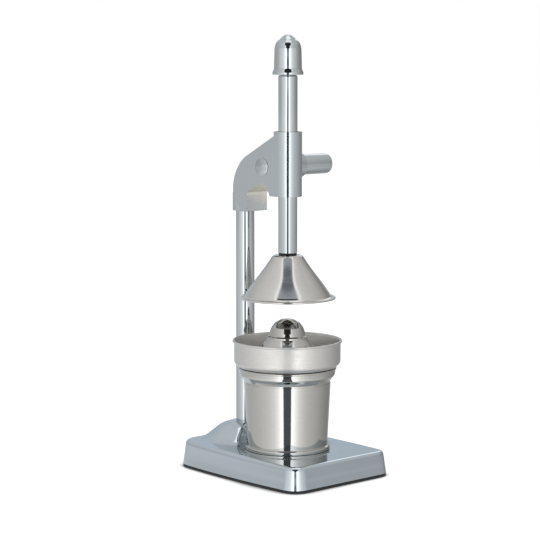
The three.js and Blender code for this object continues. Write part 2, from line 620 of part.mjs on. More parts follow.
// Height and steepness of the strainer's flank at a radius.
function strainerFlank(radius) {
  const k = STRAINER_LINE.findIndex(([r], i) => i > 1 && r <= radius);
  const [r0, z0] = STRAINER_LINE[k - 1];
  const [r1, z1] = STRAINER_LINE[k];
  return { height: z0 + (z1 - z0) * (r0 - radius) / (r0 - r1), tilt: Math.atan2(r0 - r1, z1 - z0) };
}

function makeStrainerCone() {
  const inner = sheetInside(STRAINER_LINE.slice(1), STRAINER_SHEET, (i) => ![0, 3, 6, 8].includes(i));
  inner[0] = [0, STRAINER_TOP - STRAINER_SHEET];
  const shell = turned([...STRAINER_LINE, ...inner, [43.9, BOWL_LEDGE + GAP], STRAINER_LINE[0]], ROUND);
  const holes = HOLE_ROWS.flatMap(([radius, count, first, sides]) => {
    const { height, tilt } = strainerFlank(radius);
    const drill = cylinder(2.35, -4, 4, sides).rotate([0, 90 - tilt * 180 / Math.PI, 0]);
    return Array.from({ length: count }, (_, i) => (
      drill.translate([radius, 0, height]).rotate([0, 0, first + i * 360 / count])));
  });
  return cut(shell, ...holes);
}

// Assembly
function piece(name, body, material, place = [0, 0, 0]) {
  const mesh = new THREE.Mesh(geometryOf(body), material);
  mesh.name = name;
  mesh.position.set(...place);
  return mesh;
}

function group(place, ...children) {
  const result = new THREE.Group();
  result.position.set(...place);
  result.add(...children);
  return result;
}

const base = group([0, 0, 0],
  piece('base_shell', makeBaseShell(), chrome()),
  piece('base_pad', makeBasePad(), blackRubber()),
  ...SCREW_PLACES.map(([x, y], i) => piece(`base_pad_screw_${i + 1}`, makePadScrew(), steel(), [x, y, 0])));

const column = group([0, COLUMN_Y, 0],
  piece('column_post', makeColumn(), chrome()),
  piece('column_bolt', makeColumnBolt(), steel()),
  piece('column_washer', makeColumnWasher(), steel()));

const leftBush = piece('shaft_bush_left', alongX(makeLeftShaftBush()), bronze(),
  [-HEAD_HALF_WIDTH + 0.9, PINION_Y, PINION_Z]);
const rightBush = piece('shaft_bush_right', alongX(makeRightShaftBush()), bronze(),
  [CHEEK_INSIDE + GAP, PINION_Y, PINION_Z]);
const pivotCap = piece('pivot_cap', makePivotCap(), castChrome(), [-HEAD_HALF_WIDTH, PINION_Y, PINION_Z]);
pivotCap.rotation.y = -Math.PI / 2;
const headSetScrew = piece('head_set_screw', alongY(makeHeadSetScrew()), steel(),
  [0, COLUMN_Y + COLUMN_RADIUS + GAP, 283]);

const head = group([0, 0, 0],
  piece('head_casting', makeHeadCasting(), castChrome()),
  piece('guide_bush_lower', makeGuideBush(10), bronze(), [0, 0, SLEEVE_BOTTOM + 0.8]),
  piece('guide_bush_upper', makeGuideBush(13.2), bronze(), [0, 0, SLEEVE_TOP - 14]),
  leftBush, rightBush, pivotCap, headSetScrew);

const lever = group([0, PINION_Y, PINION_Z],
  piece('pinion_shaft', makePinionShaft(), steel()),
  piece('pinion_gear', makePinionGear(), steel()),
  piece('pinion_key', makePinionKey(), steel()),
  piece('lever_hub', makeLeverHub(), chrome()),
  piece('hub_set_screw', makeHubSetScrew(), steel(), [HUB_SCREW_X, 0, 0]),
  piece('lever_arm', makeLeverArm(), chrome(), [ARM_X, 0, 0]),
  piece('lever_grip', makeLeverGrip(), blackPlastic(), [ARM_X, 0, 0]));

const plunger = group([0, 0, 0],
  piece('plunger_rod', makePlungerRod(), chrome()),
  piece('top_knob', makeTopKnob(), chrome()),
  piece('cone_gasket', makeConeGasket(), blackRubber()),
  piece('press_cone', makePressCone(), satinSteel()),
  piece('cone_washer', makeConeWasher(), steel()),
  piece('cone_screw', makeConeScrew(), steel()));

const cupAndStrainer = group([...CUP_PLACE, 0],
  piece('juice_cup', makeJuiceCup(), satinSteel()),
  piece('strainer_bowl', makeStrainerBowl(), satinSteel()),
  piece('strainer_cone', makeStrainerCone(), satinSteel()));

export default group([0, 0, 0], base, column, head, lever, plunger, cupAndStrainer);
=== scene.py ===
import math

import bmesh
import bpy
import numpy as np
from mathutils import Matrix, Vector


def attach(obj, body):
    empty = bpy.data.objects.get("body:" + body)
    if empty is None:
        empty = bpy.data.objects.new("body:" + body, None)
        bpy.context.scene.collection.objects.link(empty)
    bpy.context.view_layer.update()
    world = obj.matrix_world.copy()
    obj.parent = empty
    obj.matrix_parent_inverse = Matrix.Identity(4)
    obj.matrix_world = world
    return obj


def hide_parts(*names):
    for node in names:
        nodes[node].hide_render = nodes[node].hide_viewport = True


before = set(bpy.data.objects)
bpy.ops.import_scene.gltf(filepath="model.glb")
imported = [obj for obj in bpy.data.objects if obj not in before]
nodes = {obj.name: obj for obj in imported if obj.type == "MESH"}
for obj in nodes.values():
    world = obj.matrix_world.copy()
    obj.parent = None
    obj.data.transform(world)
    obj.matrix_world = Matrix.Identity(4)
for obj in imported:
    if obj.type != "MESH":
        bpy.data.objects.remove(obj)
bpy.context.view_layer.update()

scene = bpy.context.scene

# Sizes in millimetres, the same as those of the solids
MM = 0.001
GAP = 0.3                                # air left between neighbouring pieces

BASE_FRONT, BASE_BACK = -86.2, 107.0
BASE_WIDTHS = (139.6, 143.0, 130.0)      # front, middle and back
BASE_FRONT_CORNER, BASE_BACK_CORNER = 16.0, 22.0
BASE_DRAFT = 0.15                        # how far the walls lean in, per mm of height
BASE_EDGE_RADIUS = 4.5
BASE_TOP, BASE_TOP_SLOPE = 26.45, 0.012
SHELL_BOTTOM, SHELL_CEILING = 2.7, 21.5
SHELL_INSIDE = 6.6                       # the hollow starts this far inside the foot
FOOT_CHAMFER = 0.4
PAD_THICKNESS, PAD_INSET = 2.4, 0.4
PAD_SCREWS = ((-46, -68), (46, -68), (-48, 78), (48, 78))
POCKET_RADIUS, POCKET_FLOOR = 52.0, 26.5
POCKET_LIP, POCKET_HOLLOW = 3.4, 1.4     # largest radii of the lip, and of the hollow at its foot

COLUMN_Y, COLUMN_RADIUS = 66.6, 10.0
COLUMN_BOTTOM, COLUMN_TOP = 14.3, 300.0
HUMP_HEIGHT, HUMP_INNER, HUMP_OUTER, HUMP_SKEW = 18.2, 12.0, 50.0, 1.25
HUMP_MARGIN = 2.0                        # the hump ends at least this far inside the rim

HEAD_HALF_WIDTH, HEAD_EDGE = 14.8, 0.9
SLEEVE_BOTTOM, SLEEVE_TOP, SLEEVE_BORE = 291.2, 358.3, 12.6
GUSSET_Y, GUSSET_Z, GUSSET_SLOPE = 7.6, 352.8, 0.522
LEG_BOTTOM, LEG_FRONT, LEG_BACK = 272.8, 48.0, 69.5
BACK_RADIUS, BACK_CENTRE_Z = 41.9, 295.2
SOCKET_RADIUS, SOCKET_DOME, SOCKET_DOME_Z, SOCKET_TOP = 13.4, 12.0, 290.0, 302.0
SET_SCREW_RADIUS, SET_SCREW_Z = 3.0, 283.0
CHEEK_INSIDE = 8.5                       # half width of the chamber between the cheeks
ROOF = 2.3
ARCH_TOP = 305.5
PINION_ROOM = 18.9
PINION_Y, PINION_Z = 23.9, 321.2
BOSS_END, BOSS_RADIUS = 38.3, 13.5
BUSH_LEFT_WALL, BUSH_RIGHT_WALL = 2.4, 2.8
CAP_HEIGHT, CAP_DOME, CAP_EDGE_ANGLE = 3.0, 18.06, 58.3
HUB_START, HUB_END, HUB_RADIUS = 38.8, 78.8, 10.9
HUB_SCREW_X, HUB_SCREW_RADIUS = HUB_START + 8.5, 2.8
ARM_X, ARM_RADIUS, ARM_LENGTH, ARM_CORE = 65.0, 6.0, 88.0, 4.0
GRIP_LENGTH, GRIP_END_RADIUS = 46.0, 8.0
GRIP_START = ARM_LENGTH - GRIP_LENGTH
SHAFT_RADIUS = 6.0

ROD_RADIUS, ROD_BOTTOM, ROD_SHOULDER, ROD_TOP, ROD_NECK = 10.0, 232.2, 416.5, 436.0, 6.5
TOOTH_MODULE, PINION_TEETH, RACK_TEETH, RACK_CENTRE = 1.5, 22, 27, 318.2
PRESSURE_ANGLE = math.radians(20)
TOOTH_PLAY = 0.04
RACK_PITCH_Y = PINION_Y - TOOTH_MODULE * PINION_TEETH / 2
KNOB_BOTTOM = 416.8
GASKET_BOTTOM, GASKET_TOP, GASKET_RADIUS = 230.6, 231.9, 9.6
CONE_TOP, CONE_BRIM, CONE_SHEET, CONE_SWELL = 230.3, 185.4, 1.2, 0.27
CONE_HOLE = 4.6                          # radius, the same in the gasket
CUP_PLACE = (-1.8, -1.5)
SEAT = 26.8
CUP_RECESS_RADIUS, CUP_RECESS, CUP_FLOOR = 39.0, 1.4, 4.2
CUP_SHEET, BOWL_SHEET = 1.1, 1.1
BOWL_LEDGE = 107.2
STRAINER_TOP, STRAINER_SHEET = 163.5, 1.2

# The camera, where the photograph was taken
CAMERA_PLACE = (-1359.9, -1458.3, 447.0)
CAMERA_HEADING, CAMERA_PITCH = 42.47, 6.66   # degrees: to the right of +Y, and downwards
FOCAL_PIXELS, FRAME_PIXELS = 1925.0, 540.0


def make_camera():
    data = bpy.data.cameras.new("camera")
    data.sensor_width = 36.0
    data.lens = FOCAL_PIXELS / FRAME_PIXELS * data.sensor_width
    data.clip_start, data.clip_end = 0.05, 50.0
    camera = bpy.data.objects.new("camera", data)
    scene.collection.objects.link(camera)
    camera.location = [value * MM for value in CAMERA_PLACE]
    camera.rotation_euler = (math.radians(90 - CAMERA_PITCH), 0, math.radians(-CAMERA_HEADING))
    scene.camera = camera


make_camera()


# Shader nodes. A value may be a number, a colour or another node's output.
def give(tree, socket, value):
    if isinstance(value, bpy.types.NodeSocket):
        tree.links.new(value, socket)
    elif isinstance(value, tuple):
        socket.default_value = (*value, 1)
    else:
        socket.default_value = value


def calculate(tree, operation, *values, clamp=False):
    node = tree.nodes.new("ShaderNodeMath")
    node.operation = operation
    node.use_clamp = clamp
    for socket, value in zip(node.inputs, values):
        give(tree, socket, value)
    return node.outputs[0]


def either(tree, first, second):
    return calculate(tree, "MAXIMUM", first, second)


def times(tree, first, second, clamp=False):
    return calculate(tree, "MULTIPLY", first, second, clamp=clamp)


# Rises from 0 at start to 1, by rate for each unit of value.
def rising(tree, value, start, rate):
    return times(tree, calculate(tree, "SUBTRACT", value, start), rate, clamp=True)


# Falls to 0 at end, by rate for each unit of value.
def falling(tree, value, end, rate):
    return times(tree, calculate(tree, "SUBTRACT", end, value), rate, clamp=True)


def ramp(tree, value, stops):
    node = tree.nodes.new("ShaderNodeValToRGB")
    node.color_ramp.interpolation = "LINEAR"
    elements = node.color_ramp.elements
    while len(elements) > 1:
        elements.remove(elements[-1])
    for index, (place, level) in enumerate(stops):
        element = elements[0] if index == 0 else elements.new(place)
        element.position = place
        colour = level if isinstance(level, tuple) else (level, level, level)
        element.color = (*colour, 1)
    tree.links.new(value, node.inputs[0])
    return node.outputs[0]


def mix(tree, share, first, second, blend="MIX"):
    node = tree.nodes.new("ShaderNodeMix")
    node.data_type = "RGBA"
    node.blend_type = blend
    for name, value in (("Factor", share), ("A", first), ("B", second)):
        give(tree, node.inputs[name], value)
    return node.outputs["Result"]


# The studio as the metal sees it, by direction. Angles are in degrees, counted from the camera.
STUDIO_LEFT = ((180, (0.56, 0.62, 0.68)), (150, (0.54, 0.59, 0.64)), (128, 0.56), (89, 0.66), (60, 0.78),
               (47, 0.88), (35, 1.02), (24, 1.35), (17, 1.75), (10, 1.8), (6.5, 1.75))
STUDIO_RIGHT = ((6.5, 1.75), (15, 1.8), (22, 1.42), (33, 1.02), (47, 0.79), (60, 0.67), (89, 0.53),
                (120, 0.36), (145, 0.27), (165, 0.4), (180, (0.56, 0.62, 0.68)))
VIEW_AZIMUTH = math.degrees(math.atan2(CAMERA_PLACE[1], CAMERA_PLACE[0]))

# In the ramps over the turn around the object, 0.5 is towards the camera and 0 and 1 are straight behind.
HIGH_START, HIGH_RISE = 0.25, 0.45
HIGH_LEVELS = ((0.0, 0.7), (0.25, 0.8), (0.45, 1.05), (0.55, 1.0), (0.75, 0.7), (1.0, 0.7))
OVERHEAD_LIGHT = (1.55, 1.55, 1.55)
OVERHEAD_UP = ((0.915, 0.0), (0.945, 1.0))
OVERHEAD_FRONT, OVERHEAD_LEFT = 0.25, -0.24
REAR_LIGHT = (1.3, 1.34, 1.38)
REAR_AROUND = ((0.0, 0.0), (0.93, 0.0), (0.95, 1.0))
REAR_UP = ((0.0, 0.0), (0.26, 0.0), (0.32, 1.0), (0.58, 1.0), (0.66, 0.0))
GLOW_LIGHT = (1.25, 1.25, 1.24)
GLOW_LOW = 0.1
GLOW_AROUND = ((0.27, 0.0), (0.3, 1.0), (0.7, 1.0), (0.73, 0.0))
GLOW_UP = ((0.04, 0.0), (0.09, 1.0), (0.2, 1.0), (0.4, 0.0))
BELOW_LEVELS = ((0.0, 1.0), (0.06, 1.22), (0.3, 1.15), (0.45, 1.4), (0.7, 1.35), (1.0, 0.7))

# The slot's widths and colours run from SLOT_LOW under the horizon, as 0, to straight up, as 1.
SLOT_LOW = 0.3
SLOT_BACK, SLOT_FADE = -0.15, 45
SLOT_WIDTHS = ((0.000, 0.175), (0.077, 0.16), (0.138, 0.14), (0.231, 0.14), (0.385, 0.15), (0.577, 0.3),
               (0.692, 0.4), (0.862, 0.38), (0.897, 0.3), (0.944, 0.2), (0.962, 0.05))
SLOT_COLOURS = ((0.000, (0.13, 0.145, 0.16)), (0.077, (0.11, 0.12, 0.13)), (0.123, 0.035), (0.231, 0.03),
                (0.254, (0.12, 0.15, 0.2)), (0.265, (0.2, 0.25, 0.32)), (0.273, (0.45, 0.55, 0.64)),
                (0.285, (0.42, 0.5, 0.58)), (0.308, (0.14, 0.17, 0.21)), (0.354, (0.1, 0.11, 0.12)),
                (0.42, (0.1, 0.11, 0.12)), (0.48, 0.03), (0.846, 0.03), (0.885, (0.5, 0.53, 0.57)),
                (0.904, (0.38, 0.41, 0.46)), (0.923, (0.16, 0.18, 0.22)), (0.946, (0.1, 0.12, 0.15)))
SLOT_EDGE_LIGHT = (1.35, 1.35, 1.35)
SLOT_EDGE = ((0.0, 1.0), (0.05, 1.0), (0.1, 0.0))
SLOT_EDGE_UP = ((0.0, 0.0), (0.25, 0.0), (0.45, 1.0), (0.94, 1.0), (0.98, 0.0))
SLOT_UP = ((0.0, 1.0), (0.935, 1.0), (0.955, 0.0))

EVEN_LIGHT = (0.4, 0.405, 0.415)
WHITE = (1, 1, 1)


# How far a direction points at the camera, aside and up, and how far round the object it lies.
def studio_directions(tree):
    place = tree.nodes.new("ShaderNodeTexCoord")
    turn = tree.nodes.new("ShaderNodeMapping")
    turn.vector_type = "POINT"
    turn.inputs["Rotation"].default_value = (0, 0, math.radians(-VIEW_AZIMUTH))
    tree.links.new(place.outputs["Generated"], turn.inputs["Vector"])
    split = tree.nodes.new("ShaderNodeSeparateXYZ")
    tree.links.new(turn.outputs[0], split.inputs[0])
    ahead, aside, up = split.outputs
    azimuth = calculate(tree, "ARCTAN2", aside, ahead)
    around = calculate(tree, "ADD", calculate(tree, "DIVIDE", azimuth, 2 * math.pi), 0.5)
    return ahead, aside, up, around


# Two soft boxes in front, left and right of the slot, and a more even light above them.
def front_boxes(tree, around, up):
    stops = [(0.5 - angle / 360, level) for angle, level in STUDIO_LEFT]
    stops += [(0.5 + angle / 360, level) for angle, level in STUDIO_RIGHT]
    low, high = ramp(tree, around, stops), ramp(tree, around, HIGH_LEVELS)
    return mix(tree, rising(tree, up, HIGH_START, 1 / HIGH_RISE), low, high)


# One more soft box, overhead
def overhead_box(tree, light, ahead, aside, up):
    share = times(tree, ramp(tree, up, OVERHEAD_UP), falling(tree, ahead, OVERHEAD_FRONT, 10))
    share = times(tree, share, rising(tree, aside, OVERHEAD_LEFT, 20))
    return mix(tree, share, light, OVERHEAD_LIGHT)


# A long soft box behind, on the right
def rear_box(tree, light, around, up):
    share = times(tree, ramp(tree, around, REAR_AROUND), ramp(tree, up, REAR_UP))
    return mix(tree, share, light, REAR_LIGHT)


# In front, at eye level, the room is a little brighter.
def eye_level_glow(tree, light, around, up):
    height = calculate(tree, "ADD", up, GLOW_LOW)
    share = times(tree, ramp(tree, around, GLOW_AROUND), ramp(tree, height, GLOW_UP))
    return mix(tree, share, light, GLOW_LIGHT, "MULTIPLY")


# Below the horizon the light grows a little, and straight below it falls off.
def below_horizon(tree, light, up):
    return mix(tree, 1, light, ramp(tree, times(tree, up, -1), BELOW_LEVELS), "MULTIPLY")


# The dark slot between the two soft boxes, wider higher up, with the bright edges of the boxes beside it.
# A thin blue band shows low in it.
def dark_slot(tree, light, ahead, aside, up):
    facing = rising(tree, ahead, SLOT_BACK, 8)
    height = times(tree, calculate(tree, "ADD", up, SLOT_LOW), 1 / (1 + SLOT_LOW))
    half_width = ramp(tree, height, SLOT_WIDTHS)
    offset = calculate(tree, "SUBTRACT", calculate(tree, "ABSOLUTE", aside), half_width)
    edge = times(tree, times(tree, ramp(tree, offset, SLOT_EDGE), ramp(tree, up, SLOT_EDGE_UP)), facing)
    edged = mix(tree, edge, light, SLOT_EDGE_LIGHT)
    beside = times(tree, offset, SLOT_FADE, clamp=True)
    inside = times(tree, calculate(tree, "SUBTRACT", 1, beside), facing)
    inside = times(tree, inside, ramp(tree, up, SLOT_UP))
    return mix(tree, inside, edged, ramp(tree, height, SLOT_COLOURS))


# The metal mirrors the studio. Camera and transmission rays see white, and other rays an even soft light.
def make_world():
    world = bpy.data.worlds.new("studio")
    scene.world = world
    world.use_nodes = True
    tree = world.node_tree
    tree.nodes.clear()
    ahead, aside, up, around = studio_directions(tree)
    studio = front_boxes(tree, around, up)
    studio = overhead_box(tree, studio, ahead, aside, up)
    studio = rear_box(tree, studio, around, up)
    studio = eye_level_glow(tree, studio, around, up)
    studio = below_horizon(tree, studio, up)
    studio = dark_slot(tree, studio, ahead, aside, up)
    rays = tree.nodes.new("ShaderNodeLightPath")
    direct = either(tree, rays.outputs["Is Camera Ray"], rays.outputs["Is Transmission Ray"])
    plain = mix(tree, direct, EVEN_LIGHT, WHITE)
    background = tree.nodes.new("ShaderNodeBackground")
    tree.links.new(mix(tree, rays.outputs["Is Glossy Ray"], plain, studio), background.inputs["Color"])
    output = tree.nodes.new("ShaderNodeOutputWorld")
    tree.links.new(background.outputs[0], output.inputs["Surface"])


FLOOR_REACH = 4.0                        # metres
FLOOR_GREY = (0.5, 0.5, 0.5)
CONTACT_REACH = 0.014                    # metres, how far the contact shadow spreads
CONTACT_LEVELS = ((0.5, 0.0), (0.62, 0.12), (0.78, 0.5), (0.9, 0.68))


# A pale floor that shows white where nothing stands near it, with a thin contact shadow.
def make_floor():
    mesh = bpy.data.meshes.new("floor")
    low, high = -FLOOR_REACH, FLOOR_REACH
    mesh.from_pydata([(low, low, 0), (high, low, 0), (high, high, 0), (low, high, 0)], [], [(0, 1, 2, 3)])
    floor = bpy.data.objects.new("floor", mesh)
    scene.collection.objects.link(floor)
    material = bpy.data.materials.new("pale_floor")
    material.use_nodes = True
    tree = material.node_tree
    tree.nodes.clear()
    diffuse = tree.nodes.new("ShaderNodeBsdfDiffuse")
    give(tree, diffuse.inputs["Color"], FLOOR_GREY)
    glow = tree.nodes.new("ShaderNodeEmission")
    give(tree, glow.inputs["Color"], WHITE)
    rays = tree.nodes.new("ShaderNodeLightPath")
    shown = either(tree, rays.outputs["Is Camera Ray"], rays.outputs["Is Transmission Ray"])
    shown = either(tree, shown, rays.outputs["Is Glossy Ray"])
    near = tree.nodes.new("ShaderNodeAmbientOcclusion")
    near.inputs["Distance"].default_value = CONTACT_REACH
    open_sky = ramp(tree, near.outputs["AO"], CONTACT_LEVELS)
    tree.links.new(times(tree, shown, open_sky), glow.inputs["Strength"])
    both = tree.nodes.new("ShaderNodeAddShader")
    tree.links.new(diffuse.outputs[0], both.inputs[0])
    tree.links.new(glow.outputs[0], both.inputs[1])
    output = tree.nodes.new("ShaderNodeOutputMaterial")
    tree.links.new(both.outputs[0], output.inputs["Surface"])
    mesh.materials.append(material)
    floor.visible_glossy = False


LAMP_TOWARDS = (0.19, 0.205, 1.0)
LAMP_STRENGTH, LAMP_SPREAD = 2.0, 11     # the spread in degrees


# A soft light from above, a little behind the object, so that its shadow shows as a thin line in front.
def make_lamp():
    data = bpy.data.lights.new("overhead_lamp", "SUN")
    data.energy = LAMP_STRENGTH
    data.angle = math.radians(LAMP_SPREAD)
    lamp = bpy.data.objects.new("overhead_lamp", data)
    scene.collection.objects.link(lamp)
    lamp.location = (0, 0, 2)
    lamp.rotation_mode = "QUATERNION"
    lamp.rotation_quaternion = Vector(LAMP_TOWARDS).to_track_quat("Z", "Y")
    lamp.visible_glossy = False


scene.view_settings.view_transform = "Standard"
make_world()
make_floor()
make_lamp()


# Materials. Noise scales are per metre, and bump distances are in metres.
def surface(name, colour, metallic, roughness):
    material = bpy.data.materials.new(name)
    material.use_nodes = True
    shader = material.node_tree.nodes["Principled BSDF"]
    shader.inputs["Base Color"].default_value = (*colour, 1)
    shader.inputs["Metallic"].default_value = metallic
    shader.inputs["Roughness"].default_value = roughness
    return material, material.node_tree, shader


def shaded(colour, factor):
    return tuple(channel * factor for channel in colour)


def noise(tree, scale, detail, stretch=(1, 1, 1)):
    place = tree.nodes.new("ShaderNodeTexCoord")
    mapping = tree.nodes.new("ShaderNodeMapping")
    mapping.inputs["Scale"].default_value = stretch
    tree.links.new(place.outputs["Object"], mapping.inputs["Vector"])
    return noise_along(tree, mapping.outputs[0], scale, detail)


def noise_along(tree, place, scale, detail):
    texture = tree.nodes.new("ShaderNodeTexNoise")
    texture.inputs["Scale"].default_value = scale
    texture.inputs["Detail"].default_value = detail
    tree.links.new(place, texture.inputs["Vector"])
    return texture.outputs["Fac"]


# Noise keeps mostly between 0.3 and 0.7, so that range is spread over low to high.
def map_value(tree, value, low, high, start=0.3, end=0.7):
    node = tree.nodes.new("ShaderNodeMapRange")
    for key, number in (("From Min", start), ("From Max", end), ("To Min", low), ("To Max", high)):
        node.inputs[key].default_value = number
    tree.links.new(value, node.inputs["Value"])
    return node.outputs[0]


def roughen(tree, shader, value, low, high):
    tree.links.new(map_value(tree, value, low, high), shader.inputs["Roughness"])


def bump(tree, shader, height, distance):
    node = tree.nodes.new("ShaderNodeBump")
    node.inputs["Strength"].default_value = 1.0
    node.inputs["Distance"].default_value = distance
    tree.links.new(height, node.inputs["Height"])
    tree.links.new(node.outputs[0], shader.inputs["Normal"])


def tint(tree, shader, value, first, second):
    tree.links.new(mix(tree, value, first, second), shader.inputs["Base Color"])


# Bright plating: a faint ripple under it, and smears from polishing.
def plated(name, colour, roughness, ripple):
    material, tree, shader = surface(name, colour, 1.0, roughness)
    roughen(tree, shader, noise(tree, 35, 4, (1, 1, 0.35)), roughness * 0.7, roughness * 1.6)
    tint(tree, shader, map_value(tree, noise(tree, 14, 3), 0, 1), colour, shaded(colour, 0.965))
    bump(tree, shader, noise(tree, 160, 2), ripple)
    return material


# The inside of the head, dull like a raw casting, with painted light: a cream painted reflection near the
# top, greyer lower down, and all of it lighter than the chrome to lift the shade in the chamber.
# In the middle the border lies between these heights, in metres. It is higher on the left.
PAINTED_CREAM_START, PAINTED_CREAM_END = 0.279, 0.297


def dull_casting_painted_light(name, upper, lower, roughness):
    material, tree, shader = surface(name, upper, 1.0, roughness)
    grain = noise(tree, 700, 3)
    roughen(tree, shader, grain, roughness * 0.85, roughness * 1.15)
    place = tree.nodes.new("ShaderNodeTexCoord")
    split = tree.nodes.new("ShaderNodeSeparateXYZ")
    tree.links.new(place.outputs["Object"], split.inputs[0])
    ripple = map_value(tree, noise(tree, 90, 3), -0.004, 0.004)
    height = calculate(tree, "ADD", split.outputs[2], times(tree, split.outputs[0], 0.35))
    height = calculate(tree, "ADD", height, ripple)
    # the painted reflection: cream above the border, grey below it
    tint(tree, shader, map_value(tree, height, 0, 1, PAINTED_CREAM_START, PAINTED_CREAM_END), lower, upper)
    bump(tree, shader, grain, 0.00001)
    return material


# Spun sheet: fine rings round the axis left by polishing, and a few soft stains.
def spun_steel(name, colour, roughness, centre):
    material, tree, shader = surface(name, colour, 1.0, roughness)
    place = tree.nodes.new("ShaderNodeTexCoord")
    shift = tree.nodes.new("ShaderNodeMapping")
    shift.inputs["Location"].default_value = (-centre[0] * MM, -centre[1] * MM, 0)
    tree.links.new(place.outputs["Object"], shift.inputs["Vector"])
    split = tree.nodes.new("ShaderNodeSeparateXYZ")
    tree.links.new(shift.outputs[0], split.inputs[0])
    across, along, up = split.outputs
    squares = calculate(tree, "ADD", times(tree, across, across), times(tree, along, along))
    distance = calculate(tree, "SQRT", squares)
    angle = times(tree, calculate(tree, "ARCTAN2", along, across), 0.006)
    rings = tree.nodes.new("ShaderNodeCombineXYZ")
    for socket, value in zip(rings.inputs, (distance, angle, up)):
        tree.links.new(value, socket)
    fine = noise_along(tree, rings.outputs[0], 900, 3)
    stains = map_value(tree, noise(tree, 28, 3), 0, roughness * 0.3)
    level = calculate(tree, "ADD", map_value(tree, fine, roughness * 0.8, roughness * 1.2), stains)
    tree.links.new(level, shader.inputs["Roughness"])
    tint(tree, shader, map_value(tree, fine, 0, 1), colour, shaded(colour, 0.955))
    bump(tree, shader, fine, 0.000004)
    return material


def machined(name, colour, roughness):
    material, tree, shader = surface(name, colour, 1.0, roughness)
    roughen(tree, shader, noise(tree, 300, 3), roughness * 0.75, roughness * 1.3)
    tint(tree, shader, map_value(tree, noise(tree, 60, 4), 0, 1), colour, shaded(colour, 0.8))
    bump(tree, shader, noise(tree, 1500, 2), 0.00002)
    return material


def moulded(name, colour, roughness, grain, grain_height):
    material, tree, shader = surface(name, colour, 0.0, roughness)
    roughen(tree, shader, noise(tree, 120, 3), roughness * 0.8, min(1.0, roughness * 1.15))
    tint(tree, shader, map_value(tree, noise(tree, 40, 3), 0, 1), colour, shaded(colour, 1.35))
    bump(tree, shader, noise(tree, grain, 2), grain_height)
    return material


CHROME = plated("bright_chrome", (0.525, 0.56, 0.575), 0.035, 0.00001)
BASE_CHROME = plated("base_chrome", (0.54, 0.605, 0.65), 0.045, 0.000012)
CAST_CHROME = plated("cast_chrome", (0.48, 0.52, 0.54), 0.08, 0.00001)
# painted light: a cream painted reflection high up and lifted shade lower down
PAINTED_LIGHT_INSIDE = dull_casting_painted_light("painted_light_inside", (0.97, 0.93, 0.82), (0.68, 0.71, 0.72), 0.42)
CONE_STEEL = spun_steel("spun_steel_cone", (0.64, 0.63, 0.605), 0.1, (0, 0))
CUP_STEEL = spun_steel("spun_steel_cup", (0.535, 0.53, 0.51), 0.05, CUP_PLACE)
SATIN_STEEL = spun_steel("satin_steel_bowl", (0.7, 0.69, 0.67), 0.36, CUP_PLACE)
STEEL = machined("machined_steel", (0.62, 0.625, 0.63), 0.35)
BRONZE = machined("bearing_bronze", (0.70, 0.50, 0.24), 0.4)
RUBBER = moulded("black_rubber", (0.02, 0.02, 0.022), 0.6, 900, 0.00003)
PLASTIC = moulded("black_plastic", (0.025, 0.025, 0.028), 0.42, 2200, 0.00002)


# Mesh helpers, which take millimetres and degrees
def dress(mesh_object, body, material, slot, *replaced):
    mesh_object.data.materials.clear()
    mesh_object.data.materials.append(material)
    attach(mesh_object, body)
    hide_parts(*replaced)
    return mesh_object


def shade(mesh, sharp_angle):
    mesh.shade_smooth()
    mesh.set_sharp_from_angle(angle=math.radians(sharp_angle))


def make_object(name, points, faces, sharp_angle=32):
    mesh = bpy.data.meshes.new(name)
    mesh.from_pydata([tuple(value * MM for value in point) for point in points], [], faces)
    mesh.validate()
    shape = bmesh.new()
    shape.from_mesh(mesh)
    bmesh.ops.recalc_face_normals(shape, faces=shape.faces)
    shape.to_mesh(mesh)
    shape.free()
    shade(mesh, sharp_angle)
    made = bpy.data.objects.new(name, mesh)
    scene.collection.objects.link(made)
    return made


def arc(centre_a, centre_b, radius, start, end, steps):
    angles = [math.radians(start + (end - start) * i / steps) for i in range(steps + 1)]
    return [(centre_a + radius * math.cos(a), centre_b + radius * math.sin(a)) for a in angles]


# Rounds the corners of a profile; a point may carry its own radius as a third value.
def softened(points, radius, steps=4, closed=False):
    result = []
    count = len(points)
    for i, point in enumerate(points):
        here = Vector(point[:2])
        before = Vector(points[i - 1][:2]) - here
        after = Vector(points[(i + 1) % count][:2]) - here
        wanted = point[2] if len(point) > 2 else radius
        is_end = not closed and i in (0, count - 1)
        if is_end or wanted <= 0 or min(before.length, after.length) < 1e-6:
            result.append(tuple(here))
            continue
        turn = math.pi - before.angle(after)
        if turn < math.radians(3):
            result.append(tuple(here))
            continue
        reach = min(wanted * math.tan(turn / 2), before.length * 0.48, after.length * 0.48)
        start = here + before.normalized() * reach
        end = here + after.normalized() * reach
        for k in range(steps + 1):
            t = k / steps
            result.append(tuple(start * (1 - t) ** 2 + here * 2 * t * (1 - t) + end * t ** 2))
    return result


# Turns a profile of (radius, height) about the vertical line through centre.
def lathe(name, profile, centre=(0, 0), sides=128, sharp_angle=32):
    points, faces, rows = [], [], []
    for radius, height in profile:
        if radius < 1e-6:
            rows.append([len(points)])
            points.append((centre[0], centre[1], height))
            continue
        rows.append(list(range(len(points), len(points) + sides)))
        for k in range(sides):
            angle = 2 * math.pi * (k + 0.5) / sides
            x, y = centre[0] + radius * math.cos(angle), centre[1] + radius * math.sin(angle)
            points.append((x, y, height))
    for lower, upper in zip(rows, rows[1:]):
        if len(lower) == 1 and len(upper) == 1:
            continue
        for k in range(sides):
            j = (k + 1) % sides
            if len(lower) == 1:
                faces.append((lower[0], upper[k], upper[j]))
            elif len(upper) == 1:
                faces.append((lower[k], lower[j], upper[0]))
            else:
                faces.append((lower[k], lower[j], upper[j], upper[k]))
    return make_object(name, points, faces, sharp_angle)


def closed_lathe(name, profile, **options):
    return lathe(name, [*profile, profile[0]], **options)


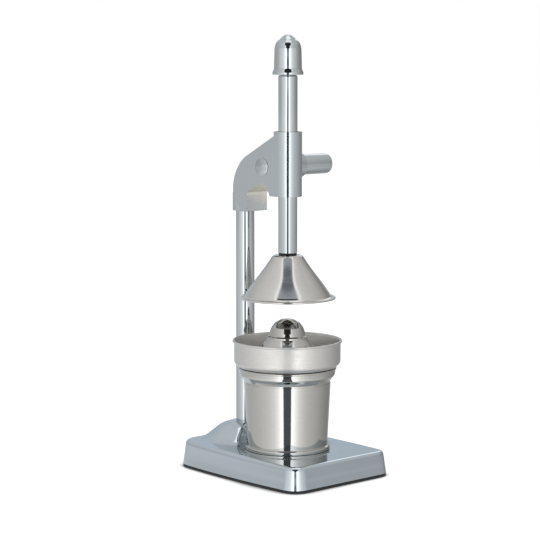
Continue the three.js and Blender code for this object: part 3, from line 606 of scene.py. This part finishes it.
def cylinder_piece(name, radius, low, high, sides=64, centre=(0, 0)):
    return lathe(name, [(0, low), (radius, low), (radius, high), (0, high)], centre=centre, sides=sides)


def prism_along_x(name, outline, low, high):
    count = len(outline)
    points = [(low, y, z) for y, z in outline] + [(high, y, z) for y, z in outline]
    faces = [tuple(range(count)), tuple(range(2 * count - 1, count - 1, -1))]
    faces += [(i, (i + 1) % count, count + (i + 1) % count, count + i) for i in range(count)]
    return make_object(name, points, faces)


def shift_by(x, y, z):
    return Matrix.Translation((x * MM, y * MM, z * MM))


def apply_matrix(mesh_object, matrix):
    mesh_object.data.transform(matrix)
    return mesh_object


def lay_on_pinion_axis(mesh_object):
    return apply_matrix(mesh_object, shift_by(0, PINION_Y, PINION_Z) @ Matrix.Rotation(math.pi / 2, 4, "Y"))


def lay_along_y(mesh_object, x, y, z):
    return apply_matrix(mesh_object, shift_by(x, y, z) @ Matrix.Rotation(-math.pi / 2, 4, "X"))


def merge(name, pieces):
    joined = bmesh.new()
    for piece in pieces:
        joined.from_mesh(piece.data)
    mesh = bpy.data.meshes.new(name)
    joined.to_mesh(mesh)
    joined.free()
    for piece in pieces:
        bpy.data.objects.remove(piece)
    made = bpy.data.objects.new(name, mesh)
    scene.collection.objects.link(made)
    return made


def combine(target, tool, operation):
    modifier = target.modifiers.new("boolean", "BOOLEAN")
    modifier.operation = operation
    modifier.solver = "EXACT"
    modifier.object = tool
    bake_modifiers(target)
    bpy.data.objects.remove(tool)
    return target


def bake_modifiers(target):
    bpy.context.view_layer.update()
    graph = bpy.context.evaluated_depsgraph_get()
    mesh = bpy.data.meshes.new_from_object(target.evaluated_get(graph))
    old = target.data
    target.modifiers.clear()
    target.data = mesh
    bpy.data.meshes.remove(old)


def bevel_edges(target, width, segments, angle):
    modifier = target.modifiers.new("bevel", "BEVEL")
    modifier.width = width * MM
    modifier.segments = segments
    modifier.limit_method = "ANGLE"
    modifier.angle_limit = math.radians(angle)
    modifier.miter_outer = "MITER_ARC"
    modifier.use_clamp_overlap = True
    bake_modifiers(target)
    shade(target.data, 45)
    normals = target.modifiers.new("normals", "WEIGHTED_NORMAL")
    normals.keep_sharp = True
    normals.weight = 80


# Splits the mesh along the plane x = 0.
def split_in_halves(target):
    halves = bmesh.new()
    halves.from_mesh(target.data)
    parts = [*halves.verts, *halves.edges, *halves.faces]
    bmesh.ops.bisect_plane(halves, geom=parts, plane_co=(0, 0, 0), plane_no=(1, 0, 0))
    halves.to_mesh(target.data)
    halves.free()


# The base. Its plan is bowed at the sides and rounded at the corners.
def base_half_width(y):
    t = (y - BASE_FRONT) / (BASE_BACK - BASE_FRONT)
    front, middle, back = BASE_WIDTHS
    width = front * (1 - t) * (1 - 2 * t) + middle * 4 * t * (1 - t) + back * t * (2 * t - 1)
    loss = 0
    for distance, radius in ((y - BASE_FRONT, BASE_FRONT_CORNER), (BASE_BACK - y, BASE_BACK_CORNER)):
        if distance < radius:
            loss += radius - math.sqrt(max(0, radius ** 2 - (radius - distance) ** 2))
    return width / 2 - loss


def base_plan(inset):
    front_steps, side_steps, back_steps = 14, 30, 16
    start, end = BASE_FRONT + BASE_FRONT_CORNER, BASE_BACK - BASE_BACK_CORNER
    stations = [BASE_FRONT + BASE_FRONT_CORNER * (1 - math.cos(i / front_steps * math.pi / 2))
                for i in range(front_steps + 1)]
    stations += [start + (end - start) * i / side_steps for i in range(1, side_steps)]
    stations += [BASE_BACK - BASE_BACK_CORNER * (1 - math.cos(i / back_steps * math.pi / 2))
                 for i in range(back_steps, -1, -1)]
    right = [(base_half_width(y), y) for y in stations]
    left = [(-x, y) for x, y in reversed(right)]
    loop = np.array(right + left)
    before, after = np.roll(loop, 1, axis=0), np.roll(loop, -1, axis=0)
    along = after - before
    along /= np.linalg.norm(along, axis=1)[:, None]
    return loop + np.stack([-along[:, 1], along[:, 0]], axis=1) * inset


# Distance from a point to a plan outline in each of several directions.
def reach_to(plan, origin, angles):
    start = plan - np.array(origin)
    end = np.roll(start, -1, axis=0)
    edge = end - start
    result = np.empty(len(angles))
    for i, angle in enumerate(angles):
        ray = np.array([math.cos(angle), math.sin(angle)])
        denominator = ray[0] * edge[:, 1] - ray[1] * edge[:, 0]
        denominator[np.abs(denominator) < 1e-12] = 1e-12
        distance = (start[:, 0] * edge[:, 1] - start[:, 1] * edge[:, 0]) / denominator
        along = (start[:, 0] * ray[1] - start[:, 1] * ray[0]) / denominator
        hits = distance[(along >= -1e-9) & (along <= 1 + 1e-9) & (distance > 0)]
        result[i] = hits.max()
    return result


LEAN_IN = BASE_DRAFT * (BASE_TOP - BASE_EDGE_RADIUS - SHELL_BOTTOM)
RIM_PLAN = base_plan(LEAN_IN + BASE_EDGE_RADIUS)
RIM_ANGLES = np.linspace(-math.pi, math.pi, 361)
RIM_REACH = reach_to(RIM_PLAN, (0, COLUMN_Y), RIM_ANGLES)


def top_plane(y):
    return BASE_TOP + BASE_TOP_SLOPE * (y + POCKET_RADIUS)


# The top with its hump round the column, which is drawn in where the rim comes near.
def top_height(x, y):
    distance = math.hypot(x, y - COLUMN_Y)
    rim = np.interp(math.atan2(y - COLUMN_Y, x), RIM_ANGLES, RIM_REACH)
    squeeze = min(1.0, (rim - HUMP_MARGIN - COLUMN_RADIUS) / (HUMP_OUTER - COLUMN_RADIUS))
    radius = COLUMN_RADIUS + (distance - COLUMN_RADIUS) / squeeze
    t = min(1.0, max(0.0, (radius - HUMP_INNER) / (HUMP_OUTER - HUMP_INNER)))
    return top_plane(y) + HUMP_HEIGHT * (0.5 + 0.5 * math.cos(math.pi * t ** HUMP_SKEW))


# One spoke of the pocket's edge: floor, small hollow, wall, and a rounded lip that runs into the top.
def pocket_edge(cosine, sine):
    def height(radius):
        return top_height(radius * cosine, radius * sine)

    hollow_steps, lip_steps, slope_run = 4, 8, 0.2
    wall = max(0.02, height(POCKET_RADIUS + 2) - POCKET_FLOOR)
    lip = min(POCKET_LIP, wall * 0.6)
    hollow = min(POCKET_HOLLOW, wall * 0.2)
    slope = 0.0
    for _ in range(3):
        meet = POCKET_RADIUS + lip * (1 - math.sin(slope))
        slope = math.atan((height(meet + slope_run) - height(meet)) / slope_run)
    meet = POCKET_RADIUS + lip * (1 - math.sin(slope))
    centre = height(meet) - lip * math.cos(slope)
    spoke = [(POCKET_RADIUS - hollow + hollow * math.sin(a), POCKET_FLOOR + hollow * (1 - math.cos(a)))
             for a in (i / hollow_steps * math.pi / 2 for i in range(hollow_steps + 1))]
    for i in range(lip_steps + 1):
        angle = math.pi + (math.pi / 2 + slope - math.pi) * i / lip_steps
        spoke.append((POCKET_RADIUS + lip + lip * math.cos(angle), centre + lip * math.sin(angle)))
    return spoke, meet


# The shell as spokes round the plunger's axis: pocket, top, rounded edge, wall, foot and the hollow inside.
def make_base():
    spokes, top_rings, edge_steps = 288, 34, 8
    angles = np.array([2 * math.pi * i / spokes for i in range(spokes)])

    def reach_at(inset):
        return reach_to(base_plan(inset), (0, 0), angles)

    rim_reach = reach_to(RIM_PLAN, (0, 0), angles)
    edge = []
    for i in range(edge_steps - 1, -1, -1):
        angle = i / edge_steps * math.pi / 2
        plan_inset = LEAN_IN + BASE_EDGE_RADIUS * (1 - math.cos(angle))
        edge.append((reach_at(plan_inset), BASE_EDGE_RADIUS * (1 - math.sin(angle))))
    wall_levels = [(0.75, 18.0), (0.5, 12.0), (0.25, 7.5), (0.0, SHELL_BOTTOM + FOOT_CHAMFER)]
    outside = [(reach_at(LEAN_IN * share), z) for share, z in wall_levels]
    outside += [(reach_at(FOOT_CHAMFER), SHELL_BOTTOM), (reach_at(SHELL_INSIDE), SHELL_BOTTOM),
                (reach_at(SHELL_INSIDE), SHELL_CEILING)]
    floor_radii = [6, 14, 24, 34, 42, 48, 50]
    columns = []
    for i, angle in enumerate(angles):
        cosine, sine = math.cos(angle), math.sin(angle)
        spoke, meet = pocket_edge(cosine, sine)
        column = [(radius, POCKET_FLOOR) for radius in floor_radii] + spoke
        for k in range(1, top_rings + 1):
            share = k / top_rings
            radius = meet + (rim_reach[i] - meet) * share
            column.append((radius, top_height(radius * cosine, radius * sine)))
        column += [(reach[i], top_plane(reach[i] * sine) - drop) for reach, drop in edge]
        column += [(reach[i], z) for reach, z in outside]
        columns.append([(radius * cosine, radius * sine, z) for radius, z in column])
    rings = len(columns[0])
    points = [(0, 0, POCKET_FLOOR)]
    points += [point for column in columns for point in column]
    points.append((0, 0, SHELL_CEILING))
    faces = []
    for i in range(spokes):
        j = (i + 1) % spokes
        first, second = 1 + i * rings, 1 + j * rings
        faces.append((0, first, second))
        faces.append((len(points) - 1, second + rings - 1, first + rings - 1))
        faces += [(first + k, first + k + 1, second + k + 1, second + k) for k in range(rings - 1)]
    return make_object("base_skin", points, faces, 40)


dress(make_base(), "frame", BASE_CHROME, "chrome", "base_shell")


def make_pad():
    top = PAD_THICKNESS
    levels = [(0.5, 0.0), (0.12, 0.12), (0.0, 0.5), (0.0, top - 0.5), (0.12, top - 0.12), (0.5, top)]
    plans = [base_plan(inset + PAD_INSET) for inset, _ in levels]
    count = len(plans[0])
    points = [(x, y, z) for plan, (_, z) in zip(plans, levels) for x, y in plan]
    faces = [tuple(range(count - 1, -1, -1)), tuple(range((len(levels) - 1) * count, len(levels) * count))]
    for k in range(len(levels) - 1):
        for i in range(count):
            j = (i + 1) % count
            faces.append((k * count + i, k * count + j, (k + 1) * count + j, (k + 1) * count + i))
    pad = make_object("pad_skin", points, faces, 40)
    sink_line = [(0, -1), (4.4, -1), (4.4, 0.9), (2.3, 3), (2.3, 5), (0, 5)]
    sinks = [lathe("sink", sink_line, place, 40) for place in PAD_SCREWS]
    return combine(pad, merge("sinks", sinks), "DIFFERENCE")


dress(make_pad(), "frame", RUBBER, "black_rubber", "base_pad")


def make_column():
    bar = [(0, COLUMN_BOTTOM), (COLUMN_RADIUS, COLUMN_BOTTOM), (COLUMN_RADIUS, COLUMN_TOP), (0, COLUMN_TOP)]
    return lathe("column_bar", softened(bar, 1.0), (0, COLUMN_Y), 96)


dress(make_column(), "frame", CHROME, "chrome", "column_post")


# The head: an outline seen from the side, with the sleeve, the socket and the boss added to it.
def gusset_edge(y):
    return GUSSET_Z - GUSSET_SLOPE * (y - GUSSET_Y)


def head_outline():
    outline = [(-1, SLEEVE_BOTTOM, 0), (12, SLEEVE_BOTTOM, 1.2), (14.6, 296.7, 8), (17.4, 300.6, 8),
               (21.3, 303.4, 8), (25.3, 304, 8), (29.6, 303.1, 8), (45.3, 295, 4), (47.3, 293.2, 4),
               (LEG_FRONT, 290.5, 4), (LEG_FRONT, LEG_BOTTOM, 1.6), (LEG_BACK, LEG_BOTTOM, 1.8)]
    outline = softened(outline, 2, 3, closed=True)
    end_angle = 90 - math.degrees(math.atan(GUSSET_SLOPE))
    outline += arc(LEG_BACK - BACK_RADIUS, BACK_CENTRE_Z, BACK_RADIUS, 0, end_angle, 26)
    outline.append((-1, gusset_edge(-1)))
    return outline


# The room between the cheeks for the pinion, open to the arch below.
def make_chamber():
    front, rod_side, mouth_back, roof_bend = 8, 15.4, 28, 22.5
    back = PINION_Y + PINION_ROOM
    outline = [(front, 302.5), (rod_side, 302.5), (rod_side, 292), (mouth_back, 292),
               *arc(PINION_Y, PINION_Z, PINION_ROOM, -75, 0, 16), (back, gusset_edge(back) - ROOF),
               (roof_bend, gusset_edge(roof_bend) - ROOF), (front, gusset_edge(roof_bend) - ROOF)]
    return prism_along_x("chamber", outline, -CHEEK_INSIDE, CHEEK_INSIDE)


def head_bores():
    column_bore = COLUMN_RADIUS + GAP
    left_bore, right_bore = SHAFT_RADIUS + BUSH_LEFT_WALL, SHAFT_RADIUS + BUSH_RIGHT_WALL
    set_screw = cylinder_piece("screw_bore", SET_SCREW_RADIUS, 0, 20, 32)
    return [cylinder_piece("bore", SLEEVE_BORE, SLEEVE_BOTTOM - 1, SLEEVE_TOP + 1, 72),
            cylinder_piece("column_bore", column_bore, LEG_BOTTOM - 1, COLUMN_TOP + GAP, 64, (0, COLUMN_Y)),
            lay_on_pinion_axis(cylinder_piece("bore_left", left_bore, -20, 0, 48)),
            lay_on_pinion_axis(cylinder_piece("bore_right", right_bore, 0, BOSS_END + 1, 48)),
            lay_along_y(set_screw, 0, COLUMN_Y + 5, SET_SCREW_Z)]


def make_head():
    body = prism_along_x("head_body", head_outline(), -HEAD_HALF_WIDTH, HEAD_HALF_WIDTH)
    combine(body, cylinder_piece("sleeve", HEAD_HALF_WIDTH, SLEEVE_BOTTOM, SLEEVE_TOP, 96), "UNION")
    socket = [(0, LEG_BOTTOM), (SOCKET_RADIUS, LEG_BOTTOM), (SOCKET_RADIUS, SOCKET_DOME_Z),
              *arc(SOCKET_RADIUS - SOCKET_DOME, SOCKET_DOME_Z, SOCKET_DOME, 12, 90, 8), (0, SOCKET_TOP)]
    combine(body, lathe("socket", socket, (0, COLUMN_Y), 72), "UNION")
    combine(body, lay_on_pinion_axis(cylinder_piece("boss", BOSS_RADIUS, 5, BOSS_END, 72)), "UNION")
    for tool in (make_chamber(), *head_bores()):
        combine(body, tool, "DIFFERENCE")
    bevel_edges(body, HEAD_EDGE, 3, 38)
    # otherwise a face would wrap right round the sleeve
    split_in_halves(body)
    return body


# The chamber, the arch's underside and the leg's front face are left dull as cast, and get painted light: a
# cream painted reflection and lifted shade.
def dull_inside_with_painted_light(head):
    slack = 0.3
    head.data.materials.append(PAINTED_LIGHT_INSIDE)
    for face in head.data.polygons:
        x, y, z = (value / MM for value in face.center)
        between_cheeks = abs(x) < CHEEK_INSIDE + slack and 14 < y < LEG_FRONT + 0.5
        in_chamber = between_cheeks and 262 < z < gusset_edge(y) - ROOF + slack
        under_arch = 16 < y < LEG_FRONT + 1 and 289 < z < ARCH_TOP and face.normal.z < -0.15
        on_leg = abs(y - LEG_FRONT) < 0.4 and z < 296
        if abs(x) < HEAD_HALF_WIDTH - 1.2 and (in_chamber or under_arch or on_leg):
            # these faces get the material with the painted reflection and lifted shade
            face.material_index = 1


dull_inside_with_painted_light(dress(make_head(), "frame", CAST_CHROME, "cast_chrome", "head_casting"))


# The dome on the left cheek, over the end of the pinion shaft.
def make_cap():
    dome = arc(0, CAP_HEIGHT - CAP_DOME, CAP_DOME, CAP_EDGE_ANGLE, 90, 14)[:-1]
    profile = [(0, -0.6), (7.6, -0.6), (7.6, 0.3), (9.5, 0.3), *dome, (0, CAP_HEIGHT)]
    cap = lathe("cap_dome", profile, sides=96, sharp_angle=50)
    turn = Matrix.Rotation(-math.pi / 2, 4, "Y")
    return apply_matrix(cap, shift_by(-HEAD_HALF_WIDTH, PINION_Y, PINION_Z) @ turn)


dress(make_cap(), "frame", CAST_CHROME, "cast_chrome", "pivot_cap")


# The lever: the hub on the pinion shaft, and the arm with its grip, which points back.
def make_hub():
    profile = [(0, HUB_START), (HUB_RADIUS, HUB_START, 0.9), (HUB_RADIUS, HUB_END, 2.8), (0, HUB_END)]
    hub = lay_on_pinion_axis(lathe("hub_body", softened(profile, 1, 6), sides=96))
    shaft_bore = cylinder_piece("shaft_bore", SHAFT_RADIUS + GAP, HUB_START - 1, ARM_X - 7.2, 48)
    arm_bore = cylinder_piece("arm_bore", ARM_RADIUS - 0.7, -6, 20, 48)
    screw_bore = cylinder_piece("hub_screw_bore", HUB_SCREW_RADIUS, -20, -3, 32)
    cuts = [lay_on_pinion_axis(shaft_bore), lay_along_y(arm_bore, ARM_X, PINION_Y, PINION_Z),
            apply_matrix(screw_bore, shift_by(HUB_SCREW_X, PINION_Y, PINION_Z))]
    for tool in cuts:
        combine(hub, tool, "DIFFERENCE")
    shade(hub.data, 40)
    return hub


dress(make_hub(), "lever", CHROME, "chrome", "lever_hub")


def make_arm():
    tenon, shoulder, neck, end = ARM_RADIUS - 1, HUB_RADIUS + GAP, GRIP_START - GAP, ARM_LENGTH - 5
    profile = [(0, -5.5), (tenon, -5.5, 0.5), (tenon, shoulder, 0), (ARM_RADIUS, shoulder, 0.5),
               (ARM_RADIUS, neck, 0.5), (ARM_CORE, neck, 0), (ARM_CORE, end, 0.6), (0, end)]
    return lay_along_y(lathe("arm_bar", softened(profile, 0.5, 3), sides=64), ARM_X, PINION_Y, PINION_Z)


dress(make_arm(), "lever", CHROME, "chrome", "lever_arm")


def make_grip():
    bore, bore_end, round_start = ARM_CORE + GAP, ARM_LENGTH - 4.5, ARM_LENGTH - GRIP_END_RADIUS
    profile = [(bore, GRIP_START), (6.6, GRIP_START), (7.1, GRIP_START + 1.2), (7.5, GRIP_START + 14),
               (7.8, GRIP_START + 26), (GRIP_END_RADIUS, round_start),
               *arc(0, round_start, GRIP_END_RADIUS, 10, 90, 8)[:-1], (0, ARM_LENGTH), (0, bore_end),
               (bore, bore_end)]
    grip = closed_lathe("grip_body", softened(profile, 0.5, 3, closed=True), sides=64)
    return lay_along_y(grip, ARM_X, PINION_Y, PINION_Z)


dress(make_grip(), "lever", PLASTIC, "black_plastic", "lever_grip")


# The plunger: first its rod, with the rack cut into a flat on its back.
def rod_blank():
    profile = [(0, ROD_BOTTOM), (ROD_RADIUS, ROD_BOTTOM, 0.8), (ROD_RADIUS, ROD_SHOULDER - 1.5, 0.6),
               (ROD_RADIUS - 1, ROD_SHOULDER, 0.3), (ROD_NECK, ROD_SHOULDER, 0), (ROD_NECK, ROD_TOP, 0.5),
               (0, ROD_TOP)]
    return lathe("rod_bar", softened(profile, 0.5, 3), sides=96)


def make_rod():
    rod = rod_blank()
    pitch = math.pi * TOOTH_MODULE
    outside = ROD_RADIUS + 2
    tip, root = RACK_PITCH_Y + TOOTH_MODULE, RACK_PITCH_Y - 1.25 * TOOTH_MODULE
    rack_low, rack_high = RACK_CENTRE - RACK_TEETH * pitch / 2, RACK_CENTRE + RACK_TEETH * pitch / 2
    flat = [(tip, rack_low), (outside, rack_low), (outside, rack_high), (tip, rack_high)]
    combine(rod, prism_along_x("flat", flat, -outside, outside), "DIFFERENCE")

    def half_gap(y):
        return pitch / 4 + TOOTH_PLAY + (y - RACK_PITCH_Y) * math.tan(PRESSURE_ANGLE)

    first = math.ceil((rack_low - PINION_Z) / pitch)
    spaces = []
    for i in range(RACK_TEETH - 1):
        middle = PINION_Z + (first + i + 0.5) * pitch
        space = [(root, middle - half_gap(root)), (outside, middle - half_gap(outside)),
                 (outside, middle + half_gap(outside)), (root, middle + half_gap(root))]
        spaces.append(prism_along_x("space", space, -outside, outside))
    combine(rod, merge("spaces", spaces), "DIFFERENCE")
    shade(rod.data, 24)
    return rod


dress(make_rod(), "plunger", CHROME, "chrome", "plunger_rod")

# Each point of the knob has a radius, a height over the knob's foot and a rounding.
KNOB_LINE = ((16.15, 0, 0.9), (16.1, 2.3, 2.5), (14.5, 6.2, 4), (14.4, 12, 1), (14.29, 17, 1),
             (14.17, 21, 1), (14.01, 25, 1), (13.9, 27, 1), (13.3, 30, 4), (12.3, 32.7, 4), (10.6, 34.8, 3),
             (8.4, 36.3, 1), (6.6, 38.2, 2.5), (3.6, 40.7, 4), (0, 41.2, 0))


def make_knob():
    bore, bore_top = ROD_NECK + GAP, ROD_TOP + 0.5
    outline = [(0, bore_top), (bore, bore_top, 0.3), (bore, KNOB_BOTTOM, 0.3)]
    outline += [(radius, KNOB_BOTTOM + height, rounding) for radius, height, rounding in KNOB_LINE]
    return lathe("knob_body", softened(outline, 1, 6), sides=96, sharp_angle=50)


dress(make_knob(), "plunger", CHROME, "chrome", "top_knob")


def make_gasket():
    profile = [(CONE_HOLE, GASKET_BOTTOM, 0.1), (GASKET_RADIUS, GASKET_BOTTOM, 0.5),
               (GASKET_RADIUS, GASKET_TOP, 0.5), (CONE_HOLE, GASKET_TOP, 0.1)]
    return closed_lathe("gasket_ring", softened(profile, 0.3, 4, closed=True), sides=96, sharp_angle=50)


dress(make_gasket(), "plunger", RUBBER, "black_rubber", "cone_gasket")


# The inner line of a sheet, at a constant distance from its outer line.
def sheet_inside(points, thickness):
    inside = []
    for i, point in enumerate(points):
        before = points[max(i - 1, 0)]
        after = points[min(i + 1, len(points) - 1)]
        run, rise = after[0] - before[0], after[1] - before[1]
        length = math.hypot(run, rise)
        inside.append((max(0, point[0] - rise / length * thickness), point[1] + run / length * thickness))
    return inside[::-1]


# The cone's side between foot and shoulder: a little full low down and a little hollow higher up.
def cone_side(foot, shoulder, steps):
    run, rise = shoulder[0] - foot[0], shoulder[1] - foot[1]
    length = math.hypot(run, rise)
    side = []
    for i in range(1, steps):
        t = i / steps
        out = CONE_SWELL * (math.sin(2 * math.pi * t) + 1.5 * (t ** 3 - t))
        side.append((foot[0] + run * t + rise / length * out, foot[1] + rise * t - run / length * out))
    return side


def make_cone():
    foot, shoulder = (44.3, CONE_BRIM + 3.9, 4), (16.2, CONE_TOP - 1.5, 2.4)
    line = [(48.9, CONE_BRIM + 0.75), (46.6, CONE_BRIM + 1.2, 5), (45.1, CONE_BRIM + 2.3, 4), foot,
            *cone_side(foot, shoulder, 24), shoulder, (13.9, CONE_TOP, 2.2), (CONE_HOLE, CONE_TOP)]
    line = softened(line, 1, 6)
    profile = [*arc(49.3, CONE_BRIM, 1, -150, 90, 12), *line, *sheet_inside(line, CONE_SHEET)]
    return closed_lathe("cone_sheet", profile, sides=144, sharp_angle=60)


dress(make_cone(), "plunger", CONE_STEEL, "satin_steel", "press_cone")


# The cup, and the strainer's bowl and cone, all turned about the cup's own axis.
def make_cup():
    line = [(44.6, SEAT, 0), (44.75, SEAT + 0.2, 0.2), (44.75, SEAT + 2.9, 0.6), (44.1, SEAT + 3.7, 0.5),
            (42.2, SEAT + 4.1, 0.7), (45.5, 96.4, 1.2), (45.0, 98.4, 1.0), (47.0, 101.5, 3), (50.0, 104.9, 3),
            (50.5, 107.2, 3), (50.5, 110.6)]
    line = softened(line, 1, 6)
    wall_start = next(i for i, point in enumerate(line) if point[1] > SEAT + 4.4)
    inside = sheet_inside(line[wall_start:], CUP_SHEET)
    profile = [(0, SEAT + CUP_RECESS), (CUP_RECESS_RADIUS, SEAT + CUP_RECESS), (CUP_RECESS_RADIUS, SEAT),
               *line, *arc(50.6, 111.8, 1.1, -60, 170, 12), *inside, (inside[-1][0] - 0.3, SEAT + CUP_FLOOR),
               (0, SEAT + CUP_FLOOR)]
    return lathe("cup_sheet", profile, CUP_PLACE, 144, 50)


dress(make_cup(), "cup", CUP_STEEL, "satin_steel", "juice_cup")


def make_bowl():
    underside = BOWL_LEDGE - BOWL_SHEET
    line = [(44, underside), (48.2, underside, 0.6), (48.8, BOWL_LEDGE - 0.5, 0.3), (48.8, 112.6, 0.5),
            (49.4, 113.3, 0.5), (51.8, 113.9, 1.2), (55.1, 117.3, 2), (55.8, 119.2, 3), (55.8, 138.6)]
    line = softened(line, 0.6, 5)
    profile = [*line, *arc(56.4, 140.3, 1.2, -110, 160, 14), *sheet_inside(line, BOWL_SHEET)]
    return closed_lathe("bowl_sheet", profile, centre=CUP_PLACE, sides=160, sharp_angle=50)


dress(make_bowl(), "strainer", SATIN_STEEL, "satin_steel", "strainer_bowl")

STRAINER_FOOT = BOWL_LEDGE + GAP
STRAINER_LINE = ((47.2, STRAINER_FOOT, 0), (47.2, BOWL_LEDGE + 1.5, 0.3), (45, 109.4, 1.5), (37.9, 119.8, 0),
                 (31.2, 129.7, 0), (24.1, 139.3, 2), (21.3, 143.2, 0.7), (21, 145, 0.7), (19.4, 146, 0.5),
                 (18.6, 149.3, 2), (16.6, 154.6, 4), (12.8, 159.6, 4), (6.8, 162.8, 6), (0, STRAINER_TOP))
FLANK = STRAINER_LINE[2:7]                                   # the sloping part that is perforated
HOLE_ROWS = ((27.4, 6, 33), (34.6, 10, 0), (41.2, 12, 0))    # radius, count, first angle
HOLE_RADIUS = 2.35


# Drills that stand square to the flank, in rings.
def strainer_drills():
    drills = []
    for radius, count, first in HOLE_ROWS:
        (r0, z0, _), (r1, z1, _) = next((a, b) for a, b in zip(FLANK, FLANK[1:]) if b[0] <= radius)
        height = z0 + (z1 - z0) * (r0 - radius) / (r0 - r1)
        tilt = math.atan2(r0 - r1, z1 - z0)
        for k in range(count):
            turn = Matrix.Rotation(math.radians(first + 360 * k / count), 4, "Z")
            place = shift_by(*CUP_PLACE, 0) @ turn @ shift_by(radius, 0, height)
            drill = cylinder_piece("drill", HOLE_RADIUS, -4, 4, 24)
            drills.append(apply_matrix(drill, place @ Matrix.Rotation(math.pi / 2 - tilt, 4, "Y")))
    return merge("drills", drills)


def make_strainer():
    outer = softened(STRAINER_LINE, 1, 5)
    inner = sheet_inside(outer[2:], STRAINER_SHEET)
    inner[0] = (0, STRAINER_TOP - STRAINER_SHEET)
    profile = [*outer, *inner, (43.9, STRAINER_FOOT)]
    strainer = closed_lathe("strainer_sheet", profile, centre=CUP_PLACE, sides=144, sharp_angle=45)
    combine(strainer, strainer_drills(), "DIFFERENCE")
    shade(strainer.data, 40)
    return strainer


dress(make_strainer(), "strainer", CUP_STEEL, "satin_steel", "strainer_cone")

# Solids that are shown as they are, with a better material
CARRIED = {
    STEEL: ("base_pad_screw_1", "base_pad_screw_2", "base_pad_screw_3", "base_pad_screw_4", "column_bolt",
            "column_washer", "head_set_screw", "pinion_shaft", "pinion_gear", "pinion_key", "hub_set_screw",
            "cone_washer", "cone_screw"),
    BRONZE: ("guide_bush_lower", "guide_bush_upper", "shaft_bush_left", "shaft_bush_right"),
}
for material, names in CARRIED.items():
    for name in names:
        nodes[name].data.materials.clear()
        nodes[name].data.materials.append(material)
